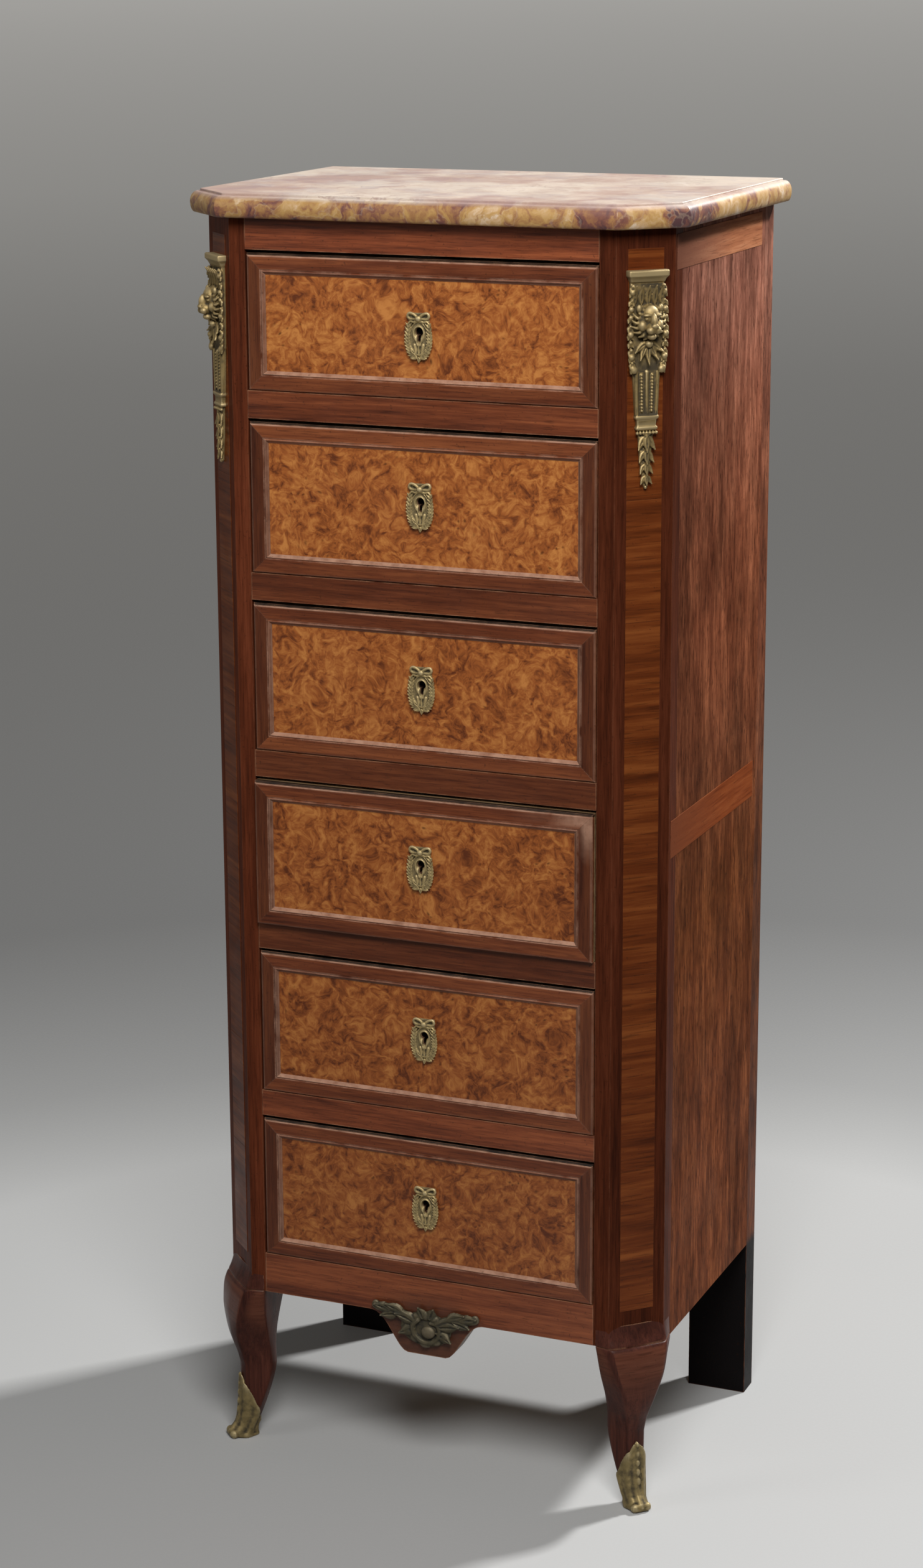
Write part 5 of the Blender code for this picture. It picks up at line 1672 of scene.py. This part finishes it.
def build_apron_mount(bm):
    bead(bm, spot(0, 0.0010, -0.0115), (0.0270, 0.0026, 0.0180), 24)
    bead(bm, spot(BOSS[0], 0.0046, BOSS[1]), (0.0074, 0.0040, 0.0066), 18)
    bar(bm, flow([spot(x, 0.0034, z) for x, z in RIM], 4), 0.0032, 0.0020)
    for across, up, degrees, length, width in CARTOUCHE_LEAVES:
        leaf(bm, spot(across, 0.0022, up), math.radians(degrees), length, width, 0.0034, 0.0008, 0.0022)
    for across, up, wide, tall in CARTOUCHE_LOBES:
        bead(bm, spot(across, 0.0022, up), (wide, 0.0034, tall), 14)
    for sign in (1, -1):
        bar(bm, flow([spot(sign * x, 0.0024, z) for x, z in WING], 4), 0.0034, 0.0018)
        for across, up, degrees, length in WING_LEAVES:
            turn = math.radians(degrees if sign > 0 else 180 - degrees)
            leaf(bm, spot(sign * across, 0.0022, up), turn, length, 0.0125, 0.0034, 0.0006, 0.0018)


apron_mesh = cast(build_apron_mount, 0.00046, 0.30)
apron_place = Matrix.Translation((0, FRONT_Y, LEG_TOP))
settle("apron_cartouche", apron_mesh, shaded_bronze, "case", ["apron_mount"], apron_place)
print("apron mount:", len(apron_mesh.polygons), "faces")

# %% [markdown]
# ## The shoes
# Each front foot stands in a cast shoe, a sabot: a leafy cup whose tip climbs the ridge of the leg
# and whose toe rolls forward. The cup follows the leg's own outline, pushed out by the metal's
# thickness, with ribs like those of a leaf. Inside, it stops just short of the wood.

# %% Shoes
SHOE_WALL = 0.0024
SHOE_HEEL_HEIGHT = 0.018
SHOE_TIP_HEIGHT = 0.070
SHOE_SLOPE = 2.3
SHOE_TOE = 0.012
SHOE_POINTS = 96
SHOE_RIBS = 9
SHOE_LEVELS = [
    # share of the height, wall as a share of the whole, share of the toe's reach
    (0.00, 0.55, 0.45), (0.03, 0.95, 0.80), (0.07, 1.10, 0.95), (0.12, 1.05, 0.85), (0.17, 0.85, 0.60),
    (0.23, 0.78, 0.34), (0.32, 0.84, 0.16), (0.48, 0.92, 0.05), (0.66, 0.88, 0.0), (0.84, 0.95, 0.0),
    (0.95, 0.90, 0.0), (1.00, 0.60, 0.0)]
TOE_ROLL = 0.0044
TIP_BEADS = 5


def even_marks(outline, count):
    """Marks at even distances round a closed outline, counted in its own points."""
    loop = outline + [outline[0]]
    lengths = [0.0]
    for a, b in zip(loop, loop[1:]):
        lengths.append(lengths[-1] + (b - a).length)
    return np.interp(np.linspace(0, lengths[-1], count, endpoint=False), lengths, range(len(loop)))


def at_marks(outline, marks):
    """The points of a closed outline at such marks, so two outlines can share them."""
    loop = outline + [outline[0]]
    xs = np.interp(marks, range(len(loop)), [p.x for p in loop])
    ys = np.interp(marks, range(len(loop)), [p.y for p in loop])
    return [Vector((x, y)) for x, y in zip(xs, ys)]


def pushed_out(outline, distances):
    """An outline with each point moved outwards by its own distance."""
    moved = []
    for index, here in enumerate(outline):
        run = outline[(index + 1) % len(outline)] - outline[index - 1]
        moved.append(here + Vector((-run.y, run.x)).normalized() * distances[index])
    return moved


def build_shoe(bm):
    share, blend, swell = LEG_STATIONS[-1]
    marks = even_marks(leg_foot(), SHOE_POINTS)
    ankle, foot = at_marks(leg_section(blend, swell * KNEE_SWELL), marks), at_marks(leg_foot(), marks)
    front = max(p.y for p in foot)
    depth = front - min(p.y for p in foot)
    ahead = [1 - (front - p.y) / depth for p in foot]
    rib = [math.cos(2 * math.pi * SHOE_RIBS * k / SHOE_POINTS) for k in range(SHOE_POINTS)]
    climb = SHOE_TIP_HEIGHT - SHOE_HEEL_HEIGHT
    rise = [SHOE_HEEL_HEIGHT + climb * a ** SHOE_SLOPE + 0.0012 * r for a, r in zip(ahead, rib)]

    def ring(level, wall, toe, ribbed):
        distances = [SHOE_WALL * wall + 0.0006 * ribbed * r for r in rib]
        low, high = pushed_out(foot, distances), pushed_out(ankle, distances)
        made = []
        for index in range(SHOE_POINTS):
            height = level * rise[index]
            along = (height - SHOE_SOLE) / (share * LEG_TOP - SHOE_SOLE)
            place = low[index].lerp(high[index], 1 - (1 - min(max(along, 0), 1)) ** FOOT_TURN)
            made.append(from_corner(place + Vector((0, toe * SHOE_TOE * ahead[index] ** 2)), height))
        return made

    rings = [ring(level, wall, toe, math.sin(math.pi * min(level * 1.1, 1.0)))
             for level, wall, toe in SHOE_LEVELS]
    skin(bm, rings)
    roll_out = front + SHOE_WALL + 0.55 * SHOE_TOE
    ends = [from_corner(Vector((across, roll_out)), TOE_ROLL) for across in (-0.0064, 0.0064)]
    bar(bm, [ends[0].lerp(ends[1], k / 6) for k in range(7)], TOE_ROLL, sides=14)
    for end in ends:
        bead(bm, end, (0.0040, 0.0040, TOE_ROLL), 14)
    face = max(p.y for p in ankle)
    for step in range(TIP_BEADS):
        t = step / (TIP_BEADS - 1)
        height = 0.028 + 0.038 * t
        size = 0.0032 - 0.0014 * t
        climbed = min((height - SHOE_SOLE) / (share * LEG_TOP - SHOE_SOLE), 1)
        out = front + (face - front) * (1 - (1 - climbed) ** FOOT_TURN)
        bead(bm, from_corner(Vector((0, out + 0.6 * SHOE_WALL)), height), (size, size, 1.5 * size), 12)


for side, sign in SIDES:
    shoe = on_side(cast(build_shoe, 0.00062, 0.30), sign)
    settle(f"{side}_sabot", shoe, shoe_bronze, "case", [f"{side}_shoe"])
print("shoes:", len(shoe.polygons), "faces each")

# %% [markdown]
# ## Lock screws
# Behind each drawer front, four slotted screws hold the lock. They only show when a drawer is
# open. A slotted head is two half domes with the slot between them.

# %% Lock screws
SCREW_RADIUS = 0.0030
SCREW_DOME = 0.0011
SCREW_INSET = 0.0065
SLOT_HALF = 0.00035


def lock_screws(bm, low, high):
    for x in (low.x + SCREW_INSET, high.x - SCREW_INSET):
        for z in (low.z + SCREW_INSET, high.z - SCREW_INSET):
            lean = chance.uniform(0, math.pi)
            for half in (0, math.pi):
                def arc(radius, y):
                    points = []
                    for k in range(9):
                        angle = half + math.pi * k / 8
                        flat = Vector((radius * math.cos(angle), radius * math.sin(angle)))
                        flat += Vector((0, SLOT_HALF if half == 0 else -SLOT_HALF))
                        turned = Matrix.Rotation(lean, 2) @ flat
                        points.append((x + turned.x, y, z + turned.y))
                    return points

                skin(bm, [arc(SCREW_RADIUS, high.y - 0.0002), arc(SCREW_RADIUS, high.y + 0.0003),
                          arc(0.7 * SCREW_RADIUS, high.y + SCREW_DOME)])


for n in DRAWERS:
    low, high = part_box(f"drawer_{n}_lock")
    screws = mesh_of(lambda bm: lock_screws(bm, low, high))
    settle(f"drawer_{n}_lock_screws", screws, iron, f"drawer_{n}")
print("lock screws:", 4 * len(DRAWERS))

# %% [markdown]
# ## The floor
# A plain pale floor whose colour is painted brightest near the piece and darker further away, a
# painted pool of light; far off, a painted glow on camera and mirror rays gives the grey of a paper
# background. It isn't part of the object, so it is marked as stage.

# %% Floor
FLOOR_HALF = 90.0
# distance from the piece in metres, painted tone of the lit floor, painted glow of the paper far behind
FLOOR_PAINTED_LIGHT = ((0.5, 0.385, 0.0), (0.8, 0.375, 0.0), (1.1, 0.25, 0.0), (1.8, 0.125, 0.02),
               (3.0, 0.085, 0.07),
               (5.0, 0.045, 0.115), (8.0, 0.03, 0.145), (16.0, 0.02, 0.225), (60.0, 0.0, 0.32))


def floor_finish():
    """Painted light and glow that change with the distance from the piece, on a scale of doublings."""
    material, tree, shader, place = new_finish("studio_floor")
    flat = scaled(tree, place, (1.0, 1.0, 0.0))
    distance = add(tree, "VectorMath", {0: flat}, operation="LENGTH").outputs["Value"]
    doublings = [math.log2(metres) for metres, *_ in FLOOR_PAINTED_LIGHT]
    reach = span(tree, sums(tree, "LOGARITHM", distance, 2.0), doublings[0], doublings[-1])
    shares = [(d - doublings[0]) / (doublings[-1] - doublings[0]) for d in doublings]
    # painted pool of light: the floor's colour falls off with distance
    painted_pool = [(share, (tone, tone, 0.985 * tone)) for share, (_, tone, _) in zip(shares, FLOOR_PAINTED_LIGHT)]
    # painted glow: the far paper glows for camera and mirror rays
    painted_glow = [(share, (tone, 0.975 * tone, 0.93 * tone)) for share, (_, _, tone) in zip(shares, FLOOR_PAINTED_LIGHT)]
    tree.links.new(ramp(tree, reach, *painted_pool), shader.inputs["Base Color"])
    tree.links.new(ramp(tree, reach, *painted_glow), shader.inputs["Emission Color"])
    tree.links.new(background_rays(tree), shader.inputs["Emission Strength"])
    speckle = noise(tree, place, 300.0, 2.0)
    tree.links.new(span(tree, speckle, 0.3, 0.7, 0.70, 0.85), shader.inputs["Roughness"])
    return material


floor_mesh = mesh_of(lambda bm: bmesh.ops.create_grid(bm, x_segments=2, y_segments=2, size=FLOOR_HALF))
floor_mesh.materials.append(floor_finish())
floor = bpy.data.objects.new("floor", floor_mesh)
bpy.context.scene.collection.objects.link(floor)
floor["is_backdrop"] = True
print("floor:", 2 * FLOOR_HALF, "m square")

# %% [markdown]
# ## The size at the end
# The dressed piece may stand only a little proud of the frame. The last line prints how far each
# corner of the box has moved, in millimetres.

# %% Size and finish
visual_box = [list(corner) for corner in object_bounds()]
grown = [[round(1000 * (b - a), 1) for a, b in zip(*pair)] for pair in zip(cad_box, visual_box)]
print("grown by (mm):", grown)
